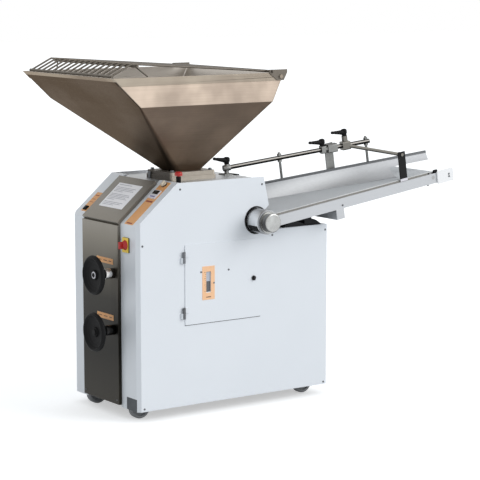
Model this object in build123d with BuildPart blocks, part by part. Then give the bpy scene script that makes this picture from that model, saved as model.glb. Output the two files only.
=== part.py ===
"""Volumetric dough divider on castors: hopper, dividing head, sloping conveyor and rounding trough."""
import os
from math import atan2, cos, degrees, radians, sin, sqrt

from build123d import *

# Cabinet
CABINET_LENGTH = 1044.0
CABINET_WIDTH = 553.0
CABINET_MIDDLE = 11.5
SHEET = 3.0
SKIRT_HEIGHT = 48.0
BLOCK_HEIGHT = 810.0
UPPER_HEIGHT = 245.0
UPPER_LENGTH = 680.0
SLOPE_RISE = 178.0
SLOPE_RUN = 210.0
NOTCH_OUT = 29.0
NOTCH_RISE = 113.0
DRUM_CUTOUT_RADIUS = 62.0
DRUM_CUTOUT_MOUTH = 42.0
POST_BEVEL = 16.0
POST_EDGE = 0.6
POST_LAP = 6.0
CASTOR_NOTCH_WIDTH = 84.0
CASTOR_NOTCH_HEIGHT = 57.0
CASTOR_NOTCH_INSET = 14.0
TOP_PLATE_DROP = 12.0
CHASSIS_HEIGHT = 130.0
CHASSIS_THICKNESS = 8.0
OVERCUT = 1.0

# Raised front panel
FRONT_RISE = 16.0
SLOPE_PANEL_RISE = 16.0
SLOPE_PANEL_LIP = 9.0
SLOPE_PANEL_END = 253.0
CREASE_DEPTH = 9.0
CREASE_DROP = 14.0
FRONT_WALL = 2.0
FRONT_PANEL_NEAR = -128.0
FRONT_PANEL_FAR = 177.0
FRONT_PANEL_FOOT = 60.0

# Handwheels
HANDWHEEL_SIDE = -87.0
WEIGHT_WHEEL_HEIGHT = 652.0
SPEED_WHEEL_HEIGHT = 397.0
HANDWHEEL_RADIUS = 88.0
HANDWHEEL_STANDOFF = 99.0
HANDWHEEL_RIM = 22.0
HANDWHEEL_HUB_RADIUS = 24.0
HANDWHEEL_HUB_BACK = 19.2
HANDWHEEL_HUB_FACE = 20.4
HANDWHEEL_DISH = 8.0
HANDWHEEL_WEB_INNER = 4.0
HANDWHEEL_WEB_OUTER = 6.0
HANDWHEEL_WEB_BACK = 54.56
HANDWHEEL_WEB_FACE = 52.8
SPINDLE_RADIUS = 10.0
SPINDLE_INSIDE = 92.0
BUSH_RADIUS = 23.0
BUSH_LENGTH = 46.0

# Switches and controls
SWITCH_SIDE = -178.0
SWITCH_BELOW_SLOPE = 89.0
SWITCH_BOX_WIDTH = 50.0
SWITCH_BOX_HEIGHT = 66.0
SWITCH_BOX_DEPTH = 8.0
SWITCH_CORNER = 4.0
KNOB_RADIUS = 22.0
KNOB_NECK_RADIUS = 11.0
KNOB_CONE_DEPTH = 16.0
KNOB_GRIP_LENGTH = 32.0
KNOB_GRIP_WIDTH = 9.0
KNOB_GRIP_DEPTH = 16.0
STOP_FROM_FRONT = 250.0
STOP_SIDE = -215.0
STOP_BASE_RADIUS = 11.0
STOP_BASE_HEIGHT = 34.0
STOP_BUTTON_RADIUS = 17.5
STOP_BUTTON_HEIGHT = 18.0
STOP_STEM_RADIUS = 6.5
STOP_TRAVEL = 4.0
SELECTOR_ALONG = 252.0
SELECTOR_RADIUS = 14.0
SELECTOR_HEIGHT = 20.0
SELECTOR_GRIP_LENGTH = 25.2
SELECTOR_GRIP_WIDTH = 9.8
CONTROL_SIDE = -189.0

# Inspection door
DOOR_FROM_FRONT = 248.0
DOOR_LENGTH = 412.0
DOOR_BELOW_BLOCK = 34.0
DOOR_HEIGHT = 361.0
DOOR_THICKNESS = 3.0
DOOR_LAP = 14.0
DOOR_CORNER = 5.0
DOOR_OPENING_CORNER = 8.0
DOOR_SLOT_FROM_EDGE = 124.0
DOOR_SLOT_WIDTH = 25.0
DOOR_SLOT_LENGTH = 95.0
DOOR_SLOT_FOOT = 140.0
DOOR_SLOT_CORNER = 3.0
HINGE_LENGTH = 50.0
HINGE_INSET = 55.0
HINGE_RADIUS = 7.0
HINGE_PIN_RADIUS = 3.0
HINGE_GAP = 1.0
HINGE_LEAF_LENGTH = 28.0
HINGE_LEAF_THICKNESS = 4.0
HINGE_WING_LENGTH = 15.4
HINGE_WING_INSET = 6.3
LOCK_FROM_EDGE = 39.0
LOCK_HEIGHT = 180.0
LOCK_RADIUS = 11.0
LOCK_FLANGE = 4.0
LOCK_SHANK_RADIUS = 6.6
LOCK_GRIP_LENGTH = 18.7
LOCK_GRIP_WIDTH = 5.5
LOCK_GRIP_DEPTH = 8.0

# Hopper and lid
THROAT_CENTRE = 405.0
THROAT_LENGTH = 150.0
THROAT_WIDTH = 112.0
HOPPER_WALL = 2.5
HOPPER_CORNER = 8.0
HOPPER_HEIGHT = 450.0
RIM_FRONT = 599.0
RIM_REAR = 299.0
RIM_HALF_WIDTH = 388.0
BAND_HEIGHT = 127.0
FOLD_FRONT = 461.0
FOLD_REAR = 239.0
NECK_LENGTH = 162.0
NECK_WIDTH = 124.0
NECK_CORNER = 37.2
COLLAR_HEIGHT = 35.0
COLLAR_PROUD = 3.0
BASE_LENGTH = 250.0
BASE_WIDTH = 210.0
BASE_LAYER = 19.0
BASE_FLANGE_INSET = 8.0
BASE_CORNER = 12.0
BASE_BOLT_RADIUS = 9.0
BASE_BOLT_INSET = 22.0
LID_BAR_RADIUS = 4.0
LID_LEG_RADIUS = 3.0
LID_BEND = 20.0
LID_WELD = 1.5
LID_RAIL_RADIUS = 6.0
LID_BARS = 16
LID_HALF_WIDTH = 345.0
LID_FRONT_INSET = 22.0
LID_RIDGE_INSET = 124.0
LID_RIDGE_RISE = 56.0
LID_REAR_INSET = 44.2
LID_REST_GAP = 0.3
PIVOT_FROM_REAR = 26.0
PIVOT_DROP = 17.0
PIVOT_RADIUS = 6.0
PIVOT_HEAD_RADIUS = 9.6
EAR_THICKNESS = 3.0
EAR_RADIUS = 17.0
EAR_REACH = 36.0
EAR_MARGIN = 2.0

# Conveyor
CONVEYOR_TILT = 8.2
DRUM_FROM_FRONT = 637.0
DRUM_RISE = 49.0
DRUM_RADIUS = 26.0
DRUM_SHAFT_RADIUS = 10.0
BELT_THICKNESS = 3.0
BELT_WIDTH = 400.0
BELT_MIDDLE = -150.0
BELT_EDGE_GAP = 4.0
ROLLER_CENTRES = 985.0
RAIL_THICKNESS = 6.0
RAIL_TOP = 19.0
RAIL_BOTTOM = -29.0
RAIL_DISC_RADIUS = 54.0
RAIL_START = -30.0
RAIL_END = 1050.0
RAIL_CORNER = 8.0
BED_THICKNESS = 2.2
BED_FLANGE = 40.0
END_PLATE_START = 1008.0
END_PLATE_END = 1108.0
END_PLATE_HEIGHT = 62.0
END_PLATE_CORNER = 6.0
CROSS_MEMBER_ALONG = 410.0
CROSS_MEMBER_WIDTH = 46.0
CROSS_MEMBER_TOP = -36.0
CROSS_MEMBER_BOTTOM = -76.0
TONGUE_LENGTH = 130.0
REST_FROM_FRONT = 801.0
REST_NEAR = -252.0
REST_FAR = -120.0
REST_PAD_LENGTH = 122.0
REST_PAD_RISE = 20.0
REST_BLOCK_LENGTH = 40.0
REST_ARM_REACH = 56.0
REST_ARM_FOOT = 5.0
REST_ARM_TOP = 30.0
REST_ARM_SAG = 5.0
SHROUD_RADIUS = 56.0
SHROUD_WALL = 2.5
SHROUD_MOUTH = 36.0
CAP_FLANGE_RADIUS = 50.0
CAP_FLANGE_THICKNESS = 8.0
CAP_RADIUS = 43.0
CAP_LENGTH = 40.0
CAP_ROUND = 6.0

# Rounding trough and its bar
TROUGH_START = 216.0
TROUGH_START_SIDE = -54.0
TROUGH_SKEW = 13.5
TROUGH_LENGTH = 640.0
TROUGH_TAIL = 212.0
TROUGH_HEIGHT = 77.5
TROUGH_SHEET = 3.0
TROUGH_FOOT_START = 8.0
TROUGH_FOOT_END = 90.0
TROUGH_SAG_START = 6.0
TROUGH_SAG_END = 19.0
TROUGH_TAIL_HEIGHT = 37.0
TROUGH_BELT_GAP = 0.5
HEM_WIDTH = 9.0
HEM_HEIGHT = 7.0
HEM_LAP = 1.0
HEM_CORNER = 2.0
BAR_RADIUS = 10.5
BAR_HEIGHT = 181.5
BAR_START = -186.0
BAR_END = 560.0
HANGER_RADIUS = 6.0
HANGER_POSITIONS = (92.0, 542.0)
HANGER_TOP = 26.0
NUT_RADIUS = 11.0
NUT_HEIGHT = 8.0
CLAMP_SIZE = 40.0
CLAMP_CORNER = 6.0
STRAP_ALONG = 568.0
STRAP_WIDTH = 48.0
STRAP_THICKNESS = 5.0
STRAP_LEVEL = 30.0
STRAP_BEND = 22.0
STRAP_STUD_BACK = 47.0
COLLAR_LENGTH = 20.0
COLLAR_SIZE = 36.0
SLEEVE_WALL = 4.0
BAR_POST_ALONG = -176.0
BAR_POST_RADIUS = 10.5
BAR_POST_KNUCKLE_LENGTH = 34.0
BAR_POST_SEAT = 3.0
BAR_POST_FOOT_LENGTH = 60.0
BAR_POST_FOOT_WIDTH = 52.0
BAR_POST_FOOT_THICKNESS = 5.0
ROD_CLAMP_ALONG = 434.0
ROD_CLAMP_RISE = 26.0
ROD_CLAMP_BOSS_RADIUS = 14.0
ROD_CLAMP_DEPTH = 14.5
ROD_RADIUS = 8.0
ROD_REACH_ALONG = 167.5
ROD_DROP = 62.5
ROD_BOSS_LENGTH = 14.0
FLAP_WIDTH = 41.0
FLAP_RAIL_GAP = 14.0
FLAP_CORNER = 2.0
FLAP_PIN_RADIUS = 5.0
FLAP_PIN_HEAD_RADIUS = 8.5
FLAP_PIN_HEAD = 4.0
FLAP_EYE_RADIUS = 13.0
LEVER_HUB_RADIUS = 11.0
LEVER_HUB_HEIGHT = 24.0
LEVER_LENGTH = 70.0
LEVER_RISE = 11.2
LEVER_NECK_HEIGHT = 16.8
LEVER_NECK_RADIUS = 4.9
LEVER_TIP_RADIUS = 7.0
STUD_RADIUS = 4.0

# Castors
WHEEL_RADIUS = 50.0
WHEEL_WIDTH = 34.0
WHEEL_HUB_RADIUS = 16.0
WHEEL_RECESS = 7.0
WHEEL_RECESS_INNER = 20.0
WHEEL_RECESS_OUTER = 34.0
WHEEL_RIM_RADIUS = 37.0
WHEEL_TREAD_BEVEL = 6.0
AXLE_RADIUS = 5.0
CASTOR_SPREAD = 183.5
FRONT_WHEEL_FROM_FRONT = 62.0
REAR_WHEEL_FROM_FRONT = 968.0
CASTOR_TRAIL = 30.0
CASTOR_PLATE_LENGTH = 100.0
CASTOR_PLATE_WIDTH = 84.0
CASTOR_PLATE_THICKNESS = 5.0
CASTOR_PLATE_CORNER = 8.0
FORK_WALL = 4.0
FORK_WHEEL_GAP = 2.0
FORK_HALF_TOP = 25.6
FORK_HALF_AXLE = 12.0
FORK_HALF_FOOT = 8.0
FORK_FOOT_DROP = 12.0
FORK_WELD = 2.0
FORK_HEAD_HEIGHT = 12.0
FORK_HEAD_RADIUS = 32.0
SWIVEL_PIN_RADIUS = 10.0
GUARD_GAP = 4.0
GUARD_THICKNESS = 3.0
GUARD_ANGLE = 35.0

# Dividing head and drive
HEAD_LENGTH = 275.0
HEAD_FRONT = 285.0
HEAD_HEIGHT = 190.0
HEAD_HALF_WIDTH = 98.0
CHEEK_THICKNESS = 18.0
CHEEK_END = 632.0
CHEEK_FOOT_RISE = 20.0
CHEEK_NOSE_BELOW = 20.0
CHEEK_NOSE_ABOVE = 40.0
PISTON_WIDTH = 120.0
PISTON_HEIGHT = 90.0
PISTON_BELOW_HEAD = 135.0
PISTON_LENGTH = 150.0
PISTON_REST = 235.0
KNIFE_THICKNESS = 7.0
KNIFE_WIDTH = 132.0
KNIFE_LENGTH = 140.0
KNIFE_REST = 190.0
KNIFE_BEVEL = 5.6
MEASURE_FROM_FRONT = 560.0
MEASURE_BELOW_HEAD = 95.0
MEASURE_RADIUS = 70.0
MEASURE_BORE_RADIUS = 34.0
MEASURE_BORE_DEPTH = 55.0
JOURNAL_RADIUS = 15.0
PEDESTAL_LENGTH = 160.0
PEDESTAL_WIDTH = 140.0
PEDESTAL_WALL = 6.0
CRANK_FROM_FRONT = 130.0
CRANK_BELOW_HEAD = 190.0
CRANK_RADIUS = 60.0
CRANK_THICKNESS = 14.0
CRANK_THROW = 45.0
CRANK_SHAFT_RADIUS = 15.0
CRANK_HUB_RADIUS = 25.5
ROD_PLATE = 16.0
ROD_BIG_END_RADIUS = 16.8
ROD_SMALL_END_RADIUS = 12.6
WRIST_FROM_PISTON = 20.0
WRIST_RADIUS = 7.0
GEARBOX_FACE = 40.0
GEARBOX_DEPTH = 100.0
GEARBOX_LENGTH = 130.0
GEARBOX_CORNER = 10.0
VARIATOR_FOOT = 300.0
VARIATOR_HEIGHT = 180.0
VARIATOR_NEAR = -190.0
VARIATOR_FRONT = 110.0
VARIATOR_LENGTH = 140.0
VARIATOR_FOOT_INSET = 10.0
MOTOR_RADIUS = 78.0
MOTOR_LENGTH = 230.0
MOTOR_SIDE = 165.0
CONVEYOR_MOTOR_RADIUS = 45.0
CONVEYOR_MOTOR_LENGTH = 170.0
POINTER_GUIDE_RADIUS = 7.0
POINTER_GUIDE_FLANGE_RADIUS = 21.0
POINTER_GUIDE_FLANGE = 10.0
POINTER_GUIDE_SIDE = -212.0
POINTER_GUIDE_REACH = 305.0
POINTER_SIZE = 30.0
POINTER_CORNER = 4.0
POINTER_FINGER_WIDTH = 19.0
POINTER_FINGER_THICKNESS = 4.0

# Running clearances
FIT = 0.05
RUN = 0.3

# Worked-out places
front = -CABINET_LENGTH / 2
rear = CABINET_LENGTH / 2
near_face = CABINET_MIDDLE - CABINET_WIDTH / 2
far_face = CABINET_MIDDLE + CABINET_WIDTH / 2
near_inside = near_face + SHEET
far_inside = far_face - SHEET
inside_width = far_inside - near_inside
top_height = BLOCK_HEIGHT + UPPER_HEIGHT
top_face = top_height - TOP_PLATE_DROP
slope_foot = top_height - SLOPE_RISE
notch_height = BLOCK_HEIGHT + NOTCH_RISE
switch_height = slope_foot - SWITCH_BELOW_SLOPE
door_foot = BLOCK_HEIGHT - DOOR_BELOW_BLOCK - DOOR_HEIGHT
base_top = top_face + 2 * BASE_LAYER
rim_height = base_top + HOPPER_HEIGHT
fold_height = rim_height - BAND_HEIGHT
drum_height = BLOCK_HEIGHT + DRUM_RISE
head_top = top_face - SHEET
head_foot = head_top - HEAD_HEIGHT
piston_foot = head_top - PISTON_BELOW_HEAD
measure_height = head_top - MEASURE_BELOW_HEAD
crank_height = head_top - CRANK_BELOW_HEAD
slope_angle = degrees(atan2(SLOPE_RISE, SLOPE_RUN))
drum_x = front + DRUM_FROM_FRONT
belt_top = DRUM_RADIUS + RUN + BELT_THICKNESS
tilt = radians(CONVEYOR_TILT)
along = Vector(cos(tilt), 0, sin(tilt))
upward = Vector(-sin(tilt), 0, cos(tilt))
across = Vector(0, 1, 0)
drum_centre = Vector(drum_x, 0, drum_height)
near_rail_in = BELT_MIDDLE - BELT_WIDTH / 2 - BELT_EDGE_GAP
near_rail_out = near_rail_in - RAIL_THICKNESS
far_rail_in = BELT_MIDDLE + BELT_WIDTH / 2 + BELT_EDGE_GAP
far_rail_out = far_rail_in + RAIL_THICKNESS
skew = radians(TROUGH_SKEW)
trough_run = along * cos(skew) - across * sin(skew)
trough_back = along * sin(skew) + across * cos(skew)
trough_origin = drum_centre + along * TROUGH_START + across * TROUGH_START_SIDE + upward * belt_top
throat_x = front + THROAT_CENTRE
rim_front = throat_x - RIM_FRONT
rim_rear = throat_x + RIM_REAR

os.makedirs("parts", exist_ok=True)


def save(builder, name):
    """Label one finished piece and write its STEP file."""
    builder.part.label = name
    export_step(builder.part, f"parts/{name}.step")


def conveyor_side(side):
    """Upright plane along the conveyor at the given Y; its normal points to the near side."""
    origin = (drum_x, side, drum_height)
    return Plane(origin=origin, x_dir=along, z_dir=(0, -1, 0))


def conveyor_section(distance):
    """Plane square to the conveyor, with local x across and local y up from the drum axis."""
    return Plane(origin=drum_centre + along * distance, x_dir=across, z_dir=along)


def trough_section(distance):
    """Plane square to the trough, with local x to the back and local y up from the belt."""
    return Plane(origin=trough_origin + trough_run * distance, x_dir=trough_back, z_dir=trough_run)


def trough_level(distance, height):
    """Plane parallel to the belt over the trough's line, with local x along the trough."""
    origin = trough_origin + trough_run * distance + upward * height
    return Plane(origin=origin, x_dir=trough_run, z_dir=upward)


def upright(side):
    """Upright plane at the given Y, with local x along X and local y along Z, facing the near side."""
    return Plane(origin=(0, side, 0), x_dir=(1, 0, 0), z_dir=(0, -1, 0))


def facing_front(x):
    """Upright plane at the given X facing the front, with local x towards -Y and local y along Z."""
    return Plane(origin=(x, 0, 0), x_dir=(0, -1, 0), z_dir=(-1, 0, 0))


def slope_plane(distance, side):
    """Plane on the front slope, with local x up the slope and its normal outward."""
    run = radians(slope_angle)
    x = front + distance * cos(run)
    z = slope_foot + distance * sin(run)
    return Plane(origin=(x, side, z), x_dir=(cos(run), 0, sin(run)), z_dir=(-sin(run), 0, cos(run)))


# Side panels: upright front, slope, flat top, slanted notch, drum cut-out and low rear block
def side_outline():
    """Outline of a side panel, with the round cut-out open towards the conveyor."""
    cut_z = BLOCK_HEIGHT - drum_height
    low_x = drum_x + sqrt(DRUM_CUTOUT_RADIUS**2 - cut_z**2)
    mouth = radians(DRUM_CUTOUT_MOUTH)
    high = Vector(cos(mouth), sin(mouth)) * DRUM_CUTOUT_RADIUS
    panel_front = front + POST_BEVEL
    Polyline(
        (low_x, BLOCK_HEIGHT), (rear, BLOCK_HEIGHT), (rear, SKIRT_HEIGHT), (panel_front, SKIRT_HEIGHT),
        (panel_front, slope_foot), (panel_front + SLOPE_RUN, top_height), (front + UPPER_LENGTH, top_height),
        (front + UPPER_LENGTH + NOTCH_OUT, notch_height), (drum_x + high.X, drum_height + high.Y),
    )
    ThreePointArc(
        (drum_x + high.X, drum_height + high.Y), (drum_x - DRUM_CUTOUT_RADIUS, drum_height),
        (low_x, BLOCK_HEIGHT),
    )


mouth_x = front + UPPER_LENGTH + NOTCH_OUT
door_left = front + DOOR_FROM_FRONT
door_middle = (door_left + DOOR_LENGTH / 2, door_foot + DOOR_HEIGHT / 2)

with BuildPart() as near_side_panel:
    with BuildSketch(upright(near_inside)):
        with BuildLine():
            side_outline()
        make_face()
        with Locations(door_middle):
            RectangleRounded(
                DOOR_LENGTH - 2 * DOOR_LAP, DOOR_HEIGHT - 2 * DOOR_LAP, DOOR_OPENING_CORNER, mode=Mode.SUBTRACT,
            )
    extrude(amount=SHEET)
save(near_side_panel, "near_side_panel")

with BuildPart() as far_side_panel:
    with BuildSketch(upright(far_face)):
        with BuildLine():
            Polyline(
                (front + POST_BEVEL, SKIRT_HEIGHT), (front + POST_BEVEL, slope_foot),
                (front + POST_BEVEL + SLOPE_RUN, top_height), (front + UPPER_LENGTH, top_height),
                (mouth_x, notch_height), (mouth_x, BLOCK_HEIGHT), (rear, BLOCK_HEIGHT), (rear, SKIRT_HEIGHT),
                close=True,
            )
        make_face()
    extrude(amount=SHEET)
save(far_side_panel, "far_side_panel")


# Front corner posts: bent strips with an outer bevel and open backs, a castor notch in the near one
def post_profile():
    """Side view of a post: upright leg and slope, one bevel deep."""
    Polyline(
        (front, SKIRT_HEIGHT), (front, slope_foot), (front + SLOPE_RUN, top_height),
        (front + SLOPE_RUN + POST_BEVEL, top_height), (front + POST_BEVEL, slope_foot),
        (front + POST_BEVEL, SKIRT_HEIGHT), close=True,
    )


near_post_inner = FRONT_PANEL_NEAR + POST_LAP
far_post_inner = FRONT_PANEL_FAR - POST_LAP
with BuildPart() as front_posts:
    for inner, outer in ((near_post_inner, near_face), (far_post_inner, far_face)):
        near_post = outer < inner
        post_width = abs(outer - inner)
        with BuildSketch(upright(max(inner, outer))):
            with BuildLine():
                post_profile()
            make_face()
        extrude(amount=post_width)
        outer_edges = front_posts.faces().sort_by(Axis.Y)[0 if near_post else -1].edges()
        chamfer(outer_edges.sort_by(Axis.X)[0], POST_BEVEL - POST_EDGE)
        with BuildSketch(upright(inner if near_post else outer - POST_BEVEL - SHEET)):
            with BuildLine():
                Polyline(
                    (front + SHEET, SKIRT_HEIGHT - OVERCUT), (front + SHEET, slope_foot - SHEET),
                    (front + SLOPE_RUN + POST_BEVEL, top_height - SHEET),
                    (front + SLOPE_RUN + 2 * POST_BEVEL, top_height - SHEET),
                    (front + SLOPE_RUN + 2 * POST_BEVEL, SKIRT_HEIGHT - OVERCUT), close=True,
                )
            make_face()
        extrude(amount=post_width - POST_BEVEL - SHEET, mode=Mode.SUBTRACT)
    with BuildSketch(facing_front(front)):
        with Locations((-near_face - CASTOR_NOTCH_INSET - CASTOR_NOTCH_WIDTH / 2, SKIRT_HEIGHT)):
            Rectangle(CASTOR_NOTCH_WIDTH, 2 * CASTOR_NOTCH_HEIGHT)
    extrude(amount=-POST_BEVEL, mode=Mode.SUBTRACT)
save(front_posts, "front_posts")

# Raised front panel: an open-backed tray on the upright and the slope, with a crease under the slope's lip
run = radians(slope_angle)
panel_face = front - FRONT_RISE


def slope_point(distance, rise):
    """X and Z at a distance up the slope and a rise over it."""
    return (front + distance * cos(run) - rise * sin(run), slope_foot + distance * sin(run) + rise * cos(run))


lip_height = slope_point(-SLOPE_PANEL_LIP, SLOPE_PANEL_RISE)[1]


def tray_outline(wall):
    """Side view of the raised panel, moved inward by the wall on its outer faces."""
    face = panel_face + wall
    crease = panel_face + CREASE_DEPTH + wall
    shoulder = lip_height - CREASE_DROP - wall
    lip = wall - SLOPE_PANEL_LIP
    crease_rise = (front + lip * cos(run) - crease) / sin(run)
    end = SLOPE_PANEL_END - wall
    Polyline(
        (face, FRONT_PANEL_FOOT + wall), (face, shoulder), (crease, shoulder), slope_point(lip, crease_rise),
        slope_point(lip, SLOPE_PANEL_RISE - wall), slope_point(end, SLOPE_PANEL_RISE - wall),
        slope_point(end, 0), (front, slope_foot), (front, FRONT_PANEL_FOOT + wall), close=True,
    )


with BuildPart() as front_panel:
    with BuildSketch(upright(FRONT_PANEL_FAR)):
        with BuildLine():
            tray_outline(0)
        make_face()
    extrude(amount=FRONT_PANEL_FAR - FRONT_PANEL_NEAR)
    with BuildSketch(upright(FRONT_PANEL_FAR - FRONT_WALL)):
        with BuildLine():
            tray_outline(FRONT_WALL)
        make_face()
    extrude(amount=FRONT_PANEL_FAR - FRONT_PANEL_NEAR - 2 * FRONT_WALL, mode=Mode.SUBTRACT)
    with BuildSketch(facing_front(front)):
        with Locations((-HANDWHEEL_SIDE, WEIGHT_WHEEL_HEIGHT), (-HANDWHEEL_SIDE, SPEED_WHEEL_HEIGHT)):
            Circle(SPINDLE_RADIUS + RUN)
    extrude(amount=FRONT_RISE + OVERCUT, mode=Mode.SUBTRACT)
save(front_panel, "front_panel")

# Top cover between the side panels: flat top with the throat opening, slanted rear and mouth closure
with BuildPart() as top_cover:
    with BuildSketch(upright(far_inside)):
        with BuildLine():
            Polyline(
                (front + SLOPE_RUN + POST_BEVEL, top_face), (front + UPPER_LENGTH, top_face),
                (mouth_x, notch_height), (mouth_x - SHEET, notch_height),
                (front + UPPER_LENGTH - SHEET, top_face - SHEET),
                (front + SLOPE_RUN + POST_BEVEL, top_face - SHEET), close=True,
            )
        make_face()
    extrude(amount=inside_width)
    with BuildSketch(upright(far_inside)):
        with Locations((mouth_x - SHEET / 2, (BLOCK_HEIGHT + notch_height) / 2)):
            Rectangle(SHEET, notch_height - BLOCK_HEIGHT)
    extrude(amount=far_inside - far_rail_out - 4 * SHEET)
    tongue_start = slope_point(SLOPE_PANEL_END, 0)[0] + RUN
    tongue_end = front + SLOPE_RUN + POST_BEVEL
    with BuildSketch(Plane.XY.offset(top_face)):
        with Locations(((tongue_start + tongue_end) / 2, (near_post_inner + far_post_inner) / 2)):
            Rectangle(tongue_end - tongue_start, far_post_inner - near_post_inner)
    extrude(amount=-SHEET)
    with BuildSketch(Plane.XY.offset(top_face)):
        with Locations((throat_x, 0)):
            Rectangle(THROAT_LENGTH, THROAT_WIDTH)
    extrude(amount=-SHEET, mode=Mode.SUBTRACT)
save(top_cover, "top_cover")

# Cover of the low block: top and rear in one bent sheet
with BuildPart() as block_cover:
    with BuildSketch(upright(far_inside)):
        with BuildLine():
            Polyline(
                (drum_x - DRUM_CUTOUT_RADIUS, BLOCK_HEIGHT), (rear, BLOCK_HEIGHT), (rear, SKIRT_HEIGHT),
                (rear - SHEET, SKIRT_HEIGHT), (rear - SHEET, BLOCK_HEIGHT - SHEET),
                (drum_x - DRUM_CUTOUT_RADIUS, BLOCK_HEIGHT - SHEET), close=True,
            )
        make_face()
    extrude(amount=inside_width)
save(block_cover, "block_cover")

# Chassis plate that carries the castors, the pedestal and the gear motor
chassis_top = CHASSIS_HEIGHT + CHASSIS_THICKNESS
with BuildPart() as chassis_plate:
    with BuildSketch(Plane.XY.offset(CHASSIS_HEIGHT)):
        with Locations(((front + POST_BEVEL + rear - SHEET) / 2, CABINET_MIDDLE)):
            Rectangle(CABINET_LENGTH - POST_BEVEL - SHEET, inside_width)
    extrude(amount=CHASSIS_THICKNESS)
save(chassis_plate, "chassis_plate")

# Throat block on the top plate in two layers
with BuildPart() as hopper_base:
    with BuildSketch(Plane.XY.offset(top_face)):
        with Locations((throat_x, 0)):
            RectangleRounded(BASE_LENGTH, BASE_WIDTH, BASE_CORNER)
            Rectangle(THROAT_LENGTH, THROAT_WIDTH, mode=Mode.SUBTRACT)
    extrude(amount=BASE_LAYER)
    with BuildSketch(Plane.XY.offset(top_face + BASE_LAYER)):
        with Locations((throat_x, 0)):
            RectangleRounded(BASE_LENGTH - BASE_FLANGE_INSET, BASE_WIDTH - BASE_FLANGE_INSET, BASE_CORNER)
            Rectangle(THROAT_LENGTH, THROAT_WIDTH, mode=Mode.SUBTRACT)
    extrude(amount=BASE_LAYER)
save(hopper_base, "hopper_base")

with BuildPart() as throat_bolts:
    with BuildSketch(Plane.XY.offset(base_top)):
        with Locations((throat_x, 0)):
            with GridLocations(BASE_LENGTH - 2 * BASE_BOLT_INSET, BASE_WIDTH - 2 * BASE_BOLT_INSET, 2, 2):
                RegularPolygon(BASE_BOLT_RADIUS, 6)
    extrude(amount=BASE_BOLT_RADIUS)
save(throat_bolts, "throat_bolts")


# Hopper: folded sheet with a steep band, a lower pyramid, a rolled neck and a collar
def hopper_outline(front_x, rear_x, half_width, radius):
    """Rounded rectangle between two X places, centred on the machine."""
    with Locations(((front_x + rear_x) / 2, 0)):
        RectangleRounded(rear_x - front_x, 2 * half_width, radius)


def hopper_section(height, front_x, rear_x, half_width, radius):
    """One level of the hopper as a sketch at its height."""
    with BuildSketch(Plane.XY.offset(height)) as section:
        hopper_outline(front_x, rear_x, half_width, radius)
    return section.sketch


def hopper_band(grow, low, high):
    """Solid of the upper band between two heights, grown outward by the given amount."""
    drop = (rim_height - low) / (rim_height - fold_height)
    rise = (rim_height - high) / (rim_height - fold_height)
    levels = []
    for share, height in ((drop, low), (rise, high)):
        front_x = rim_front + (RIM_FRONT - FOLD_FRONT) * share - grow
        rear_x = rim_rear - (RIM_REAR - FOLD_REAR) * share + grow
        levels.append(hopper_section(height, front_x, rear_x, RIM_HALF_WIDTH + grow, HOPPER_CORNER + grow))
    return loft(levels, ruled=True, mode=Mode.PRIVATE)


def hopper_pyramid(grow, foot):
    """Solid of the lower pyramid, grown outward by the given amount."""
    neck = hopper_section(
        foot, throat_x - NECK_LENGTH / 2 - grow, throat_x + NECK_LENGTH / 2 + grow,
        NECK_WIDTH / 2 + grow, NECK_CORNER + grow,
    )
    fold = hopper_section(
        fold_height, throat_x - FOLD_FRONT - grow, throat_x + FOLD_REAR + grow,
        RIM_HALF_WIDTH + grow, HOPPER_CORNER + grow,
    )
    return loft([neck, fold], ruled=True, mode=Mode.PRIVATE)


pivot_x = rim_rear - PIVOT_FROM_REAR
pivot_z = rim_height - PIVOT_DROP
collar_side = RIM_HALF_WIDTH + COLLAR_PROUD
with BuildPart() as hopper:
    add(hopper_pyramid(0, base_top))
    add(hopper_band(0, fold_height, rim_height))
    add(hopper_band(COLLAR_PROUD, rim_height - COLLAR_HEIGHT, rim_height))
    add(hopper_pyramid(-HOPPER_WALL, base_top), mode=Mode.SUBTRACT)
    add(hopper_band(-HOPPER_WALL, fold_height, rim_height), mode=Mode.SUBTRACT)
    for sign in (-1, 1):
        with BuildSketch(Plane(origin=(pivot_x, sign * collar_side, pivot_z), z_dir=(0, sign, 0))):
            Circle(PIVOT_RADIUS)
        extrude(amount=EAR_THICKNESS + 3 * RUN)
        with BuildSketch(Plane(origin=(pivot_x, sign * (collar_side + EAR_THICKNESS + 2 * RUN), pivot_z),
                               z_dir=(0, sign, 0))):
            RegularPolygon(PIVOT_HEAD_RADIUS, 6)
        extrude(amount=PIVOT_RADIUS)
save(hopper, "hopper")

# Barred lid: bent bars from the front rail over a ridge rod to the rear rail, ears on the pivot bolts
lid_floor = rim_height + LID_REST_GAP
front_rail = Vector(rim_front + LID_FRONT_INSET, 0, lid_floor + LID_RAIL_RADIUS)
ridge = Vector(rim_front + LID_RIDGE_INSET, 0, rim_height + LID_RIDGE_RISE)
rear_rail = Vector(pivot_x - LID_REAR_INSET, 0, lid_floor + LID_RAIL_RADIUS)
fall = (rear_rail - ridge).normalized()
ridge_rod = ridge + fall * (LID_BEND + LID_RAIL_RADIUS) \
    + Vector(fall.Z, 0, -fall.X) * (LID_RAIL_RADIUS + LID_BAR_RADIUS - LID_WELD)
ear_inner = collar_side + RUN
ear_outer = ear_inner + EAR_THICKNESS
ear_band = LID_RAIL_RADIUS + EAR_MARGIN


def rod(start, end, radius):
    """Round rod between two points."""
    with BuildSketch(Plane(origin=start, z_dir=(end - start).normalized())) as profile:
        Circle(radius)
    extrude(profile.sketch, amount=(end - start).length)


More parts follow.
